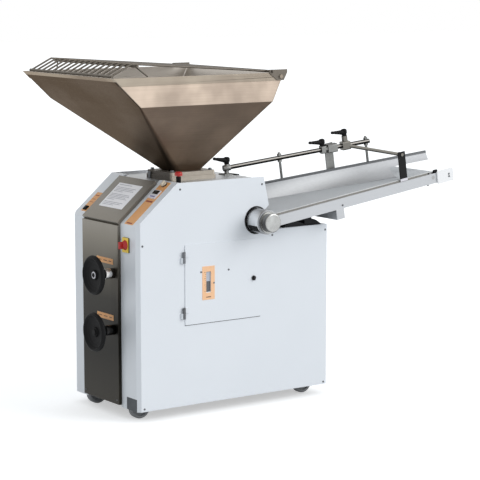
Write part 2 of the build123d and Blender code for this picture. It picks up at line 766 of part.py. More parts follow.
with BuildPart() as lid_grille:
    for rail, reach in ((front_rail, LID_HALF_WIDTH), (ridge_rod, LID_HALF_WIDTH), (rear_rail, ear_outer)):
        reach += 2 * LID_BAR_RADIUS
        rod(rail - across * reach, rail + across * reach, LID_RAIL_RADIUS)
    for index in range(LID_BARS):
        side = across * (-LID_HALF_WIDTH + 2 * LID_HALF_WIDTH * index / (LID_BARS - 1))
        with BuildLine() as bar:
            FilletPolyline(front_rail + side, ridge + side, rear_rail + side, radius=LID_BEND)
        with BuildSketch(Plane(origin=bar.line @ 0, z_dir=bar.line % 0)) as profile:
            Circle(LID_BAR_RADIUS)
        sweep(profile.sketch, path=bar.line)
    for sign in (-1, 1):
        leg_top = ridge_rod + across * (sign * (LID_HALF_WIDTH - 4 * LID_BAR_RADIUS))
        leg_foot = Vector(leg_top.X + LID_RIDGE_RISE / 2, sign * (RIM_HALF_WIDTH - HOPPER_WALL / 2),
                          lid_floor + LID_LEG_RADIUS)
        rod(leg_foot, leg_top, LID_LEG_RADIUS)
        with BuildSketch(upright(ear_outer if sign > 0 else -ear_inner)):
            with BuildLine():
                Polyline(
                    (rear_rail.X - EAR_RADIUS, rear_rail.Z - ear_band),
                    (rear_rail.X - EAR_RADIUS, rear_rail.Z + ear_band),
                    (pivot_x + EAR_REACH, rear_rail.Z + ear_band), (pivot_x + EAR_REACH, rim_height),
                    (pivot_x + EAR_RADIUS, pivot_z - EAR_RADIUS), (pivot_x - EAR_RADIUS, pivot_z - EAR_RADIUS),
                    close=True,
                )
            make_face()
            with Locations((pivot_x, pivot_z)):
                Circle(PIVOT_RADIUS + FIT, mode=Mode.SUBTRACT)
        extrude(amount=EAR_THICKNESS)
save(lid_grille, "lid_grille")

# Chrome bushes of the two handwheel spindles on the front panel
wheel_heights = (WEIGHT_WHEEL_HEIGHT, SPEED_WHEEL_HEIGHT)
with BuildPart() as handwheel_bushes:
    with BuildSketch(facing_front(panel_face)):
        with Locations(*[(-HANDWHEEL_SIDE, height) for height in wheel_heights]):
            Circle(BUSH_RADIUS)
            Circle(SPINDLE_RADIUS + FIT, mode=Mode.SUBTRACT)
    extrude(amount=BUSH_LENGTH)
save(handwheel_bushes, "handwheel_bushes")


# Dished handwheels with their spindles
def handwheel(height):
    """Half section of a dished wheel with hub, web, round rim and spindle, turned about its axis."""
    axis = Axis((0, HANDWHEEL_SIDE, height), (1, 0, 0))
    half_plane = Plane(origin=(panel_face, HANDWHEEL_SIDE, height), x_dir=(-1, 0, 0), z_dir=(0, 1, 0))
    hub_back = BUSH_LENGTH + RUN
    rim_mid = HANDWHEEL_STANDOFF
    web = rim_mid - HANDWHEEL_RIM / 2
    with BuildSketch(half_plane) as profile:
        with BuildLine():
            Polyline(
                (-FRONT_RISE - SPINDLE_INSIDE, 0), (-FRONT_RISE - SPINDLE_INSIDE, SPINDLE_RADIUS),
                (hub_back, SPINDLE_RADIUS), (hub_back, HANDWHEEL_HUB_BACK),
                (web - HANDWHEEL_DISH, HANDWHEEL_HUB_RADIUS), (web, HANDWHEEL_WEB_BACK),
                (rim_mid - HANDWHEEL_RIM / 2, HANDWHEEL_RADIUS - HANDWHEEL_RIM / 2),
            )
            ThreePointArc(
                (rim_mid - HANDWHEEL_RIM / 2, HANDWHEEL_RADIUS - HANDWHEEL_RIM / 2),
                (rim_mid, HANDWHEEL_RADIUS),
                (rim_mid + HANDWHEEL_RIM / 2, HANDWHEEL_RADIUS - HANDWHEEL_RIM / 2),
            )
            Polyline(
                (rim_mid + HANDWHEEL_RIM / 2, HANDWHEEL_RADIUS - HANDWHEEL_RIM / 2),
                (rim_mid, HANDWHEEL_RADIUS - HANDWHEEL_RIM), (web + HANDWHEEL_WEB_OUTER, HANDWHEEL_WEB_FACE),
                (web + HANDWHEEL_WEB_INNER, HANDWHEEL_HUB_RADIUS), (rim_mid, HANDWHEEL_HUB_FACE), (rim_mid, 0),
                (-FRONT_RISE - SPINDLE_INSIDE, 0),
            )
        make_face()
    revolve(profile.sketch, axis=axis)


with BuildPart() as weight_handwheel:
    handwheel(WEIGHT_WHEEL_HEIGHT)
save(weight_handwheel, "weight_handwheel")

with BuildPart() as speed_handwheel:
    handwheel(SPEED_WHEEL_HEIGHT)
save(speed_handwheel, "speed_handwheel")

# Main switch on the near post: flat box, and the turning knob with a coned skirt and a thin grip
with BuildPart() as main_switch_base:
    with BuildSketch(facing_front(front)):
        with Locations((-SWITCH_SIDE, switch_height)):
            RectangleRounded(SWITCH_BOX_WIDTH, SWITCH_BOX_HEIGHT, SWITCH_CORNER)
    extrude(amount=SWITCH_BOX_DEPTH)
save(main_switch_base, "main_switch_base")

knob_seat = front - SWITCH_BOX_DEPTH - RUN
with BuildPart() as main_switch_knob:
    for depth, radius in ((0, KNOB_RADIUS), (KNOB_CONE_DEPTH, KNOB_NECK_RADIUS)):
        with BuildSketch(facing_front(knob_seat - depth)):
            with Locations((-SWITCH_SIDE, switch_height)):
                Circle(radius)
    loft()
    with BuildSketch(facing_front(knob_seat)):
        with Locations((-SWITCH_SIDE, switch_height)):
            SlotOverall(KNOB_GRIP_LENGTH, KNOB_GRIP_WIDTH, rotation=90)
    extrude(amount=KNOB_CONE_DEPTH + KNOB_GRIP_DEPTH)
save(main_switch_knob, "main_switch_knob")

# Emergency stop on the top plate
stop_place = (front + STOP_FROM_FRONT, STOP_SIDE)
stop_collar = top_face + STOP_BASE_HEIGHT
with BuildPart() as stop_base:
    with BuildSketch(Plane.XY.offset(top_face)):
        with Locations(stop_place):
            Circle(STOP_BASE_RADIUS)
    extrude(amount=STOP_BASE_HEIGHT)
    with BuildSketch(Plane.XY.offset(stop_collar)):
        with Locations(stop_place):
            Circle(STOP_STEM_RADIUS + FIT)
    extrude(amount=-STOP_BASE_HEIGHT / 2, mode=Mode.SUBTRACT)
save(stop_base, "stop_base")

with BuildPart() as stop_button:
    with BuildSketch(Plane.XY.offset(stop_collar + STOP_TRAVEL + RUN)):
        with Locations(stop_place):
            Circle(STOP_BUTTON_RADIUS)
    extrude(amount=STOP_BUTTON_HEIGHT)
    fillet(stop_button.edges().group_by(Axis.Z)[-1], STOP_BUTTON_HEIGHT / 2)
    with BuildSketch(Plane.XY.offset(stop_collar + STOP_TRAVEL + RUN)):
        with Locations(stop_place):
            Circle(STOP_STEM_RADIUS)
    extrude(amount=-STOP_TRAVEL - STOP_BASE_HEIGHT / 3)
save(stop_button, "stop_button")

# Selector on the near slope
with BuildPart() as selector_knob:
    with BuildSketch(slope_plane(SELECTOR_ALONG, CONTROL_SIDE).offset(RUN)):
        Circle(SELECTOR_RADIUS)
    extrude(amount=SELECTOR_HEIGHT / 2)
    with BuildSketch(slope_plane(SELECTOR_ALONG, CONTROL_SIDE).offset(RUN + SELECTOR_HEIGHT / 2)):
        SlotOverall(SELECTOR_GRIP_LENGTH, SELECTOR_GRIP_WIDTH)
    extrude(amount=SELECTOR_HEIGHT / 2)
save(selector_knob, "selector_knob")

# Inspection door, its hinges and its lock
door_back = near_face - RUN
door_front = door_back - DOOR_THICKNESS
hinge_x = door_left - HINGE_RADIUS - HINGE_GAP
hinge_y = door_front - HINGE_RADIUS + DOOR_THICKNESS
hinge_heights = (door_foot + HINGE_INSET, door_foot + DOOR_HEIGHT - HINGE_INSET)
slot_x = door_left + DOOR_SLOT_FROM_EDGE
slot_z = door_foot + DOOR_SLOT_FOOT + DOOR_SLOT_LENGTH / 2
lock_x = door_left + DOOR_LENGTH - LOCK_FROM_EDGE
lock_z = door_foot + LOCK_HEIGHT
with BuildPart() as door:
    with BuildSketch(upright(door_back)):
        with Locations(door_middle):
            RectangleRounded(DOOR_LENGTH, DOOR_HEIGHT, DOOR_CORNER)
        with Locations((slot_x, slot_z)):
            RectangleRounded(DOOR_SLOT_WIDTH, DOOR_SLOT_LENGTH, DOOR_SLOT_CORNER, mode=Mode.SUBTRACT)
        with Locations((lock_x, lock_z)):
            Circle(LOCK_SHANK_RADIUS + FIT, mode=Mode.SUBTRACT)
    extrude(amount=DOOR_THICKNESS)
    for height in hinge_heights:
        with BuildSketch(Plane.XY.offset(height + RUN)):
            with Locations((hinge_x, hinge_y)):
                Circle(HINGE_RADIUS)
            with Locations(((hinge_x + door_left) / 2 + HINGE_RADIUS, door_front - HINGE_LEAF_THICKNESS / 2)):
                Rectangle(HINGE_LEAF_LENGTH, HINGE_LEAF_THICKNESS)
            with Locations((hinge_x, hinge_y)):
                Circle(HINGE_PIN_RADIUS + FIT, mode=Mode.SUBTRACT)
        extrude(amount=HINGE_LENGTH / 2)
save(door, "door")

with BuildPart() as door_hinges:
    for height in hinge_heights:
        with BuildSketch(Plane.XY.offset(height)):
            with Locations((hinge_x, hinge_y)):
                Circle(HINGE_RADIUS)
            with Locations((hinge_x - HINGE_WING_INSET, (hinge_y + near_face) / 2)):
                Rectangle(HINGE_WING_LENGTH, near_face - hinge_y)
        extrude(amount=-HINGE_LENGTH / 2)
        with BuildSketch(Plane.XY.offset(height)):
            with Locations((hinge_x, hinge_y)):
                Circle(HINGE_PIN_RADIUS)
        extrude(amount=HINGE_LENGTH / 2)
save(door_hinges, "door_hinges")

with BuildPart() as door_lock:
    with BuildSketch(upright(door_front - RUN)):
        with Locations((lock_x, lock_z)):
            Circle(LOCK_RADIUS)
    extrude(amount=LOCK_FLANGE)
    with BuildSketch(upright(door_front - RUN - LOCK_FLANGE)):
        with Locations((lock_x, lock_z)):
            Rectangle(LOCK_GRIP_WIDTH, LOCK_GRIP_LENGTH)
    extrude(amount=LOCK_GRIP_DEPTH)
    with BuildSketch(upright(door_front - RUN)):
        with Locations((lock_x, lock_z)):
            Circle(LOCK_SHANK_RADIUS)
    extrude(amount=-DOOR_THICKNESS - RUN - SHEET - OVERCUT)
save(door_lock, "door_lock")

# Weight pointer behind the door's slot, on its guide
with BuildPart() as pointer_guide:
    with BuildSketch(Plane.XY.offset(chassis_top)):
        with Locations((slot_x, POINTER_GUIDE_SIDE)):
            Circle(POINTER_GUIDE_RADIUS)
    extrude(amount=door_foot + POINTER_GUIDE_REACH - chassis_top)
    with BuildSketch(Plane.XY.offset(chassis_top)):
        with Locations((slot_x, POINTER_GUIDE_SIDE)):
            Circle(POINTER_GUIDE_FLANGE_RADIUS)
    extrude(amount=POINTER_GUIDE_FLANGE)
save(pointer_guide, "pointer_guide")

with BuildPart() as weight_pointer:
    with BuildSketch(Plane.XY.offset(slot_z - POINTER_SIZE / 2)):
        with Locations((slot_x, POINTER_GUIDE_SIDE)):
            RectangleRounded(POINTER_SIZE, POINTER_SIZE, POINTER_CORNER)
            Circle(POINTER_GUIDE_RADIUS + FIT, mode=Mode.SUBTRACT)
    extrude(amount=POINTER_SIZE)
    finger_start = POINTER_GUIDE_SIDE - POINTER_SIZE / 2
    with BuildSketch(upright(finger_start)):
        with Locations((slot_x, slot_z)):
            Rectangle(POINTER_FINGER_WIDTH, POINTER_FINGER_THICKNESS)
    extrude(amount=finger_start - near_face - OVERCUT)
save(weight_pointer, "weight_pointer")

# Conveyor rails with bores for the drum and roller shafts
with BuildPart() as conveyor_rails:
    for side in (near_rail_in, far_rail_out):
        with BuildSketch(conveyor_side(side)):
            with Locations(((RAIL_START + RAIL_END) / 2, (RAIL_TOP + RAIL_BOTTOM) / 2)):
                RectangleRounded(RAIL_END - RAIL_START, RAIL_TOP - RAIL_BOTTOM, RAIL_CORNER)
            if side == near_rail_in:
                Circle(RAIL_DISC_RADIUS)
            with Locations((0, 0), (ROLLER_CENTRES, 0)):
                Circle(DRUM_SHAFT_RADIUS + FIT, mode=Mode.SUBTRACT)
        extrude(amount=RAIL_THICKNESS)
save(conveyor_rails, "conveyor_rails")

# Bed sheet under the belt, folded down along both rails
with BuildPart() as belt_bed:
    bed_top = DRUM_RADIUS
    with BuildSketch(conveyor_side(far_rail_in)):
        with Locations((ROLLER_CENTRES / 2, bed_top - BED_THICKNESS / 2)):
            Rectangle(ROLLER_CENTRES - 2 * DRUM_RADIUS, BED_THICKNESS)
    extrude(amount=far_rail_in - near_rail_in)
    for side in (far_rail_in, near_rail_in + BED_THICKNESS):
        with BuildSketch(conveyor_side(side)):
            with Locations((ROLLER_CENTRES / 2, bed_top - BED_FLANGE / 2)):
                Rectangle(ROLLER_CENTRES - 2 * DRUM_RADIUS, BED_FLANGE)
        extrude(amount=BED_THICKNESS)
save(belt_bed, "belt_bed")

with BuildPart() as conveyor_belt:
    with BuildSketch(conveyor_side(BELT_MIDDLE + BELT_WIDTH / 2)):
        with Locations((ROLLER_CENTRES / 2, 0)):
            SlotOverall(ROLLER_CENTRES + 2 * belt_top, 2 * belt_top)
            inner = DRUM_RADIUS + RUN
            SlotOverall(ROLLER_CENTRES + 2 * inner, 2 * inner, mode=Mode.SUBTRACT)
    extrude(amount=BELT_WIDTH)
save(conveyor_belt, "conveyor_belt")


def roller(distance, near_end, far_end):
    """Crowned roller with a through shaft across the conveyor."""
    with BuildSketch(conveyor_side(BELT_MIDDLE + BELT_WIDTH / 2)) as profile:
        with Locations((distance, 0)):
            Circle(DRUM_RADIUS)
    extrude(profile.sketch, amount=BELT_WIDTH)
    with BuildSketch(conveyor_side(far_end)) as profile:
        with Locations((distance, 0)):
            Circle(DRUM_SHAFT_RADIUS)
    extrude(profile.sketch, amount=far_end - near_end)


with BuildPart() as drive_drum:
    roller(0, near_rail_out, far_rail_out + CONVEYOR_MOTOR_LENGTH / 2)
save(drive_drum, "drive_drum")

with BuildPart() as end_roller:
    roller(ROLLER_CENTRES, near_rail_out, far_rail_out)
save(end_roller, "end_roller")

with BuildPart() as drum_cap:
    with BuildSketch(conveyor_side(near_rail_out)):
        Circle(CAP_FLANGE_RADIUS)
    extrude(amount=CAP_FLANGE_THICKNESS)
    with BuildSketch(conveyor_side(near_rail_out - CAP_FLANGE_THICKNESS)):
        Circle(CAP_RADIUS)
    extrude(amount=CAP_LENGTH - CAP_FLANGE_THICKNESS)
    fillet(drum_cap.edges().group_by(Axis.Y)[0], CAP_ROUND)
save(drum_cap, "drum_cap")

# Shroud round the drum where it leaves the cabinet, open towards the conveyor
with BuildPart() as drum_shroud:
    with BuildSketch(conveyor_side(near_inside)):
        Circle(SHROUD_RADIUS)
        Circle(SHROUD_RADIUS - SHROUD_WALL, mode=Mode.SUBTRACT)
        with Locations((SHROUD_MOUTH, 0)):
            Rectangle(SHROUD_RADIUS, 2 * SHROUD_RADIUS, mode=Mode.SUBTRACT)
    extrude(amount=near_inside - near_rail_in)
save(drum_shroud, "drum_shroud")

with BuildPart() as cross_member:
    with BuildSketch(conveyor_side(far_rail_out)):
        with Locations((CROSS_MEMBER_ALONG, (CROSS_MEMBER_TOP + CROSS_MEMBER_BOTTOM) / 2)):
            Rectangle(CROSS_MEMBER_WIDTH, CROSS_MEMBER_TOP - CROSS_MEMBER_BOTTOM)
            Rectangle(
                CROSS_MEMBER_WIDTH - 2 * SHEET, CROSS_MEMBER_TOP - CROSS_MEMBER_BOTTOM - 2 * SHEET,
                mode=Mode.SUBTRACT,
            )
    extrude(amount=far_rail_out - near_rail_out)
    for side in (near_rail_in, far_rail_out):
        with BuildSketch(conveyor_side(side)):
            with Locations((CROSS_MEMBER_ALONG, (RAIL_BOTTOM + CROSS_MEMBER_BOTTOM) / 2)):
                Rectangle(CROSS_MEMBER_WIDTH, RAIL_BOTTOM - CROSS_MEMBER_BOTTOM)
        extrude(amount=RAIL_THICKNESS)
    with BuildSketch(conveyor_side(REST_FAR)):
        with Locations((CROSS_MEMBER_ALONG - TONGUE_LENGTH / 2, CROSS_MEMBER_TOP - SHEET / 2)):
            Rectangle(TONGUE_LENGTH, SHEET)
    extrude(amount=REST_FAR - REST_NEAR)
save(cross_member, "cross_member")

# Rest on the block cover: a low humped pad, a block up to the cross member's tongue and a falling arm
pad_start = front + REST_FROM_FRONT
block_start = pad_start + REST_PAD_LENGTH
block_end = block_start + REST_BLOCK_LENGTH


def tongue_height(x):
    """Height of the tongue's underside at the given X."""
    base = drum_centre + upward * (CROSS_MEMBER_TOP - SHEET)
    return base.Z + (x - base.X) * along.Z / along.X


with BuildPart() as conveyor_rest:
    with BuildSketch(upright(REST_FAR)):
        with BuildLine():
            arm_tip = (block_end + REST_ARM_REACH, BLOCK_HEIGHT)
            arm_root = (block_end, BLOCK_HEIGHT + REST_ARM_TOP)
            SagittaArc((pad_start, BLOCK_HEIGHT), (block_start, BLOCK_HEIGHT + REST_ARM_FOOT), REST_PAD_RISE)
            Polyline(
                (block_start, BLOCK_HEIGHT + REST_ARM_FOOT), (block_start, tongue_height(block_start)),
                (block_end, tongue_height(block_end)), arm_root,
            )
            SagittaArc(arm_root, arm_tip, REST_ARM_SAG)
            Line(arm_tip, (pad_start, BLOCK_HEIGHT))
        make_face()
    extrude(amount=REST_FAR - REST_NEAR)
save(conveyor_rest, "conveyor_rest")

with BuildPart() as end_plates:
    for side in (near_rail_out, far_rail_out + RAIL_THICKNESS):
        with BuildSketch(conveyor_side(side)):
            with Locations(((END_PLATE_START + END_PLATE_END) / 2, (RAIL_TOP + RAIL_BOTTOM) / 2)):
                RectangleRounded(END_PLATE_END - END_PLATE_START, END_PLATE_HEIGHT, END_PLATE_CORNER)
        extrude(amount=RAIL_THICKNESS)
save(end_plates, "end_plates")

with BuildPart() as conveyor_motor:
    with BuildSketch(conveyor_side(far_rail_out + CONVEYOR_MOTOR_LENGTH)):
        Circle(CONVEYOR_MOTOR_RADIUS)
    extrude(amount=CONVEYOR_MOTOR_LENGTH)
    with BuildSketch(conveyor_side(far_rail_out + CONVEYOR_MOTOR_LENGTH / 2 + RUN)):
        Circle(DRUM_SHAFT_RADIUS + FIT)
    extrude(amount=CONVEYOR_MOTOR_LENGTH / 2 + RUN, mode=Mode.SUBTRACT)
save(conveyor_motor, "conveyor_motor")


# Rounding trough: a sheet that opens from an upright wall to a quarter gutter, with hem and tail
def trough_profile(foot, sag):
    """Section of the sheet as a bent band standing on the belt, its hollow side to the near side."""
    low = TROUGH_BELT_GAP
    Line((0, TROUGH_HEIGHT), (TROUGH_SHEET, TROUGH_HEIGHT))
    SagittaArc((TROUGH_SHEET, TROUGH_HEIGHT), (-foot, low), sag)
    Line((-foot, low), (-foot, low + TROUGH_SHEET))
    SagittaArc((-foot, low + TROUGH_SHEET), (0, TROUGH_HEIGHT), -sag)


hem_top = TROUGH_HEIGHT + HEM_HEIGHT - HEM_LAP
with BuildPart() as trough:
    with BuildSketch(trough_section(0)):
        with BuildLine():
            trough_profile(TROUGH_FOOT_START, TROUGH_SAG_START)
        make_face()
    with BuildSketch(trough_section(TROUGH_LENGTH)):
        with BuildLine():
            trough_profile(TROUGH_FOOT_END, TROUGH_SAG_END)
        make_face()
    loft(ruled=True)
    with BuildSketch(trough_section(TROUGH_LENGTH)):
        with BuildLine():
            trough_profile(TROUGH_FOOT_END, TROUGH_SAG_END)
        make_face()
        with Locations((-TROUGH_FOOT_END / 2, (TROUGH_HEIGHT - TROUGH_TAIL_HEIGHT) / 2)):
            Rectangle(2 * TROUGH_FOOT_END, TROUGH_HEIGHT - TROUGH_TAIL_HEIGHT, mode=Mode.SUBTRACT)
    extrude(amount=TROUGH_TAIL)
    with BuildSketch(trough_section(0)):
        with Locations((HEM_WIDTH / 2, hem_top - HEM_HEIGHT / 2)):
            RectangleRounded(HEM_WIDTH, HEM_HEIGHT, HEM_CORNER)
    extrude(amount=TROUGH_LENGTH + TROUGH_TAIL)
save(trough, "trough")

# Guide bar over the trough, drilled for the hanging posts
with BuildPart() as guide_bar:
    with BuildSketch(trough_section(BAR_START)):
        with Locations((HEM_WIDTH / 2, BAR_HEIGHT)):
            Circle(BAR_RADIUS)
    extrude(amount=BAR_END - BAR_START)
    for position in HANGER_POSITIONS:
        with BuildSketch(trough_level(position, BAR_HEIGHT - 2 * BAR_RADIUS)):
            with Locations((0, HEM_WIDTH / 2)):
                Circle(HANGER_RADIUS + FIT)
        extrude(amount=4 * BAR_RADIUS, mode=Mode.SUBTRACT)
save(guide_bar, "guide_bar")

with BuildPart() as trough_posts:
    for position in HANGER_POSITIONS:
        with BuildSketch(trough_level(position, hem_top)):
            with Locations((0, HEM_WIDTH / 2)):
                Circle(HANGER_RADIUS)
        extrude(amount=BAR_HEIGHT + HANGER_TOP - hem_top)
        for level in (BAR_HEIGHT - BAR_RADIUS - NUT_HEIGHT, BAR_HEIGHT + BAR_RADIUS):
            with BuildSketch(trough_level(position, level)):
                with Locations((0, HEM_WIDTH / 2)):
                    RegularPolygon(NUT_RADIUS, 6)
            extrude(amount=NUT_HEIGHT)
save(trough_posts, "trough_posts")


def bar_bore():
    """Bore for the guide bar through a clamp."""
    with BuildSketch(trough_section(BAR_START)) as profile:
        with Locations((HEM_WIDTH / 2, BAR_HEIGHT)):
            Circle(BAR_RADIUS + FIT)
    extrude(profile.sketch, amount=BAR_END - BAR_START, mode=Mode.SUBTRACT)


# Strap bracket from the far rail up to the bar, with a clamp block at its top
strap_middle = (STRAP_ALONG - TROUGH_START) / cos(skew)
bar_side = TROUGH_START_SIDE - strap_middle * sin(skew) + HEM_WIDTH / 2
bar_level = belt_top + BAR_HEIGHT
clamp_top = bar_level + CLAMP_SIZE / 2
strap_back = bar_side + CLAMP_SIZE / 2
with BuildPart() as strap_bracket:
    with BuildSketch(conveyor_section(STRAP_ALONG - STRAP_WIDTH / 2)):
        with BuildLine():
            strap_path = FilletPolyline(
                (strap_back + STRAP_THICKNESS / 2, clamp_top),
                (strap_back + STRAP_THICKNESS / 2, belt_top + STRAP_LEVEL),
                (far_rail_out + STRAP_THICKNESS / 2, belt_top + STRAP_LEVEL),
                (far_rail_out + STRAP_THICKNESS / 2, RAIL_BOTTOM),
                radius=STRAP_BEND,
            )
            offset(strap_path, amount=STRAP_THICKNESS / 2, side=Side.BOTH)
        make_face()
    extrude(amount=STRAP_WIDTH)
    with BuildSketch(trough_section(strap_middle + STRAP_WIDTH / 2)):
        with Locations((HEM_WIDTH / 2, BAR_HEIGHT)):
            RectangleRounded(CLAMP_SIZE, CLAMP_SIZE, CLAMP_CORNER)
    extrude(amount=-STRAP_WIDTH)
    stud_place = strap_middle - STRAP_STUD_BACK
    with BuildSketch(trough_section(stud_place)):
        with Locations((HEM_WIDTH / 2, BAR_HEIGHT)):
            Circle(BAR_RADIUS + SLEEVE_WALL)
    extrude(amount=STRAP_STUD_BACK)
    with BuildSketch(trough_section(stud_place - COLLAR_LENGTH / 2)):
        with Locations((HEM_WIDTH / 2, BAR_HEIGHT)):
            RectangleRounded(COLLAR_SIZE, COLLAR_SIZE, CLAMP_CORNER)
    extrude(amount=COLLAR_LENGTH)
    bar_bore()
    with BuildSketch(trough_level(stud_place, BAR_HEIGHT + COLLAR_SIZE / 2)):
        with Locations((0, HEM_WIDTH / 2)):
            Circle(STUD_RADIUS)
    extrude(amount=LEVER_HUB_HEIGHT / 2)
save(strap_bracket, "strap_bracket")

# Round post on the cabinet top with a knuckle that holds the start of the bar
post_bar = trough_origin + trough_run * BAR_POST_ALONG + trough_back * (HEM_WIDTH / 2) + upward * BAR_HEIGHT
post_top = post_bar.Z + BAR_RADIUS + SLEEVE_WALL + BAR_POST_SEAT
with BuildPart() as bar_post:
    with BuildSketch(Plane.XY.offset(top_face)):
        with Locations((post_bar.X, post_bar.Y)):
            RectangleRounded(BAR_POST_FOOT_LENGTH, BAR_POST_FOOT_WIDTH, CLAMP_CORNER)
    extrude(amount=BAR_POST_FOOT_THICKNESS)
    with BuildSketch(Plane.XY.offset(top_face)):
        with Locations((post_bar.X, post_bar.Y)):
            Circle(BAR_POST_RADIUS)
    extrude(amount=post_top - top_face)
    with BuildSketch(trough_section(BAR_POST_ALONG - BAR_POST_KNUCKLE_LENGTH / 2)):
        with Locations((HEM_WIDTH / 2, BAR_HEIGHT)):
            Circle(BAR_RADIUS + SLEEVE_WALL)
    extrude(amount=BAR_POST_KNUCKLE_LENGTH)
    bar_bore()
    with BuildSketch(Plane.XY.offset(post_top)):
        with Locations((post_bar.X, post_bar.Y)):
            Circle(STUD_RADIUS)
    extrude(amount=LEVER_HUB_HEIGHT / 2)
save(bar_post, "bar_post")

# Cross rod: a clamp block on the bar and the rod that reaches to the flap
clamp_at = trough_origin + trough_run * ROD_CLAMP_ALONG + trough_back * (HEM_WIDTH / 2) + upward * BAR_HEIGHT
rod_reach = clamp_at + along * ROD_REACH_ALONG - upward * ROD_DROP
rod_end = Vector(rod_reach.X, near_rail_in + RUN, rod_reach.Z)
rod_dir = (rod_end - clamp_at).normalized()
rod_lever_seat = clamp_at + upward * (CLAMP_SIZE / 2 + ROD_CLAMP_RISE)
with BuildPart() as cross_rod:
    clamp_start = clamp_at - trough_run * (CLAMP_SIZE / 2)
    with BuildSketch(Plane(origin=clamp_start, x_dir=trough_back, z_dir=trough_run)):
        RectangleRounded(CLAMP_SIZE, CLAMP_SIZE, CLAMP_CORNER)
    extrude(amount=CLAMP_SIZE)
    with BuildSketch(Plane(origin=clamp_at, x_dir=trough_run, z_dir=upward)):
        Circle(ROD_CLAMP_BOSS_RADIUS)
    extrude(amount=CLAMP_SIZE / 2 + ROD_CLAMP_RISE)
    with BuildSketch(Plane(origin=clamp_at + rod_dir * ROD_CLAMP_DEPTH, z_dir=rod_dir)):
        Circle(ROD_RADIUS)
    extrude(amount=(rod_end - clamp_at).length - ROD_CLAMP_DEPTH - ROD_BOSS_LENGTH / 2)
    rod_face = Plane(origin=rod_end, x_dir=along, z_dir=(0, -1, 0))
    with BuildSketch(rod_face):
        Circle(ROD_RADIUS + SLEEVE_WALL)
    extrude(amount=-ROD_BOSS_LENGTH)
    with BuildSketch(rod_face):
        Circle(FLAP_PIN_RADIUS)
    extrude(amount=RAIL_THICKNESS + 2 * RUN)
    with BuildSketch(rod_face.offset(RAIL_THICKNESS + 2 * RUN)):
        RegularPolygon(FLAP_PIN_HEAD_RADIUS, 6)
    extrude(amount=FLAP_PIN_HEAD)
    bar_bore()
    with BuildSketch(Plane(origin=rod_lever_seat, x_dir=along, z_dir=upward)):
        Circle(STUD_RADIUS)
    extrude(amount=LEVER_HUB_HEIGHT / 2)
save(cross_rod, "cross_rod")

# Flap over the near rail, hung on the rod's end pin by its eye
flap_level = (rod_end - drum_centre).dot(upward)
flap_foot = RAIL_TOP + FLAP_RAIL_GAP
flap_top = flap_level + FLAP_EYE_RADIUS
flap_place = (rod_end - drum_centre).dot(along)
with BuildPart() as flap:
    with BuildSketch(conveyor_side(near_rail_in)):
        with Locations((flap_place, (flap_foot + flap_top) / 2)):
            RectangleRounded(FLAP_WIDTH, flap_top - flap_foot, FLAP_CORNER)
        with Locations((flap_place, flap_level)):
            Circle(FLAP_PIN_RADIUS + FIT, mode=Mode.SUBTRACT)
    extrude(amount=RAIL_THICKNESS)
save(flap, "flap")


# Clamp levers: hub with a tapering handle that leans up to a round tip
def clamp_lever(seat, up_dir, handle_dir):
    """Lever on a stud at the seat, its handle reaching along handle_dir."""
    with BuildSketch(Plane(origin=seat + up_dir * RUN, z_dir=up_dir)) as profile:
        Circle(LEVER_HUB_RADIUS)
    extrude(profile.sketch, amount=LEVER_HUB_HEIGHT)
    reach = handle_dir * LEVER_LENGTH + up_dir * LEVER_RISE
    neck = seat + up_dir * LEVER_NECK_HEIGHT
    with BuildSketch(Plane(origin=neck, z_dir=reach.normalized())) as thin:
        Circle(LEVER_NECK_RADIUS)
    with BuildSketch(Plane(origin=neck + reach, z_dir=reach.normalized())) as thick:
        Circle(LEVER_TIP_RADIUS)
    loft([thin.sketch, thick.sketch])
    with Locations(neck + reach):
        Sphere(LEVER_TIP_RADIUS)
    with BuildSketch(Plane(origin=seat, z_dir=up_dir)) as profile:
        Circle(STUD_RADIUS + FIT)
    extrude(profile.sketch, amount=LEVER_HUB_HEIGHT / 2 + 2 * RUN, mode=Mode.SUBTRACT)


with BuildPart() as post_lever:
    clamp_lever(Vector(post_bar.X, post_bar.Y, post_top), Vector(0, 0, 1), Vector(-1, 0, 0))
save(post_lever, "post_lever")

with BuildPart() as strap_lever:
    strap_seat = trough_level(stud_place, BAR_HEIGHT + COLLAR_SIZE / 2).origin
    strap_seat += trough_back * (HEM_WIDTH / 2)
    clamp_lever(strap_seat, upward, along * -1)
save(strap_lever, "strap_lever")

with BuildPart() as rod_lever:
    clamp_lever(rod_lever_seat, upward, along * -1)
save(rod_lever, "rod_lever")

# Castors: plates and fixed rear forks, swivelling front forks, and four wheels
plate_foot = CHASSIS_HEIGHT - CASTOR_PLATE_THICKNESS
fork_head_top = plate_foot - RUN
fork_head_foot = fork_head_top - FORK_HEAD_HEIGHT
fork_gap = WHEEL_WIDTH / 2 + FORK_WHEEL_GAP
fork_foot = WHEEL_RADIUS - FORK_FOOT_DROP
front_wheel_x = front + FRONT_WHEEL_FROM_FRONT
rear_wheel_x = front + REAR_WHEEL_FROM_FRONT
swivel_x = front_wheel_x + CASTOR_TRAIL
near_castor = CABINET_MIDDLE - CASTOR_SPREAD
far_castor = CABINET_MIDDLE + CASTOR_SPREAD


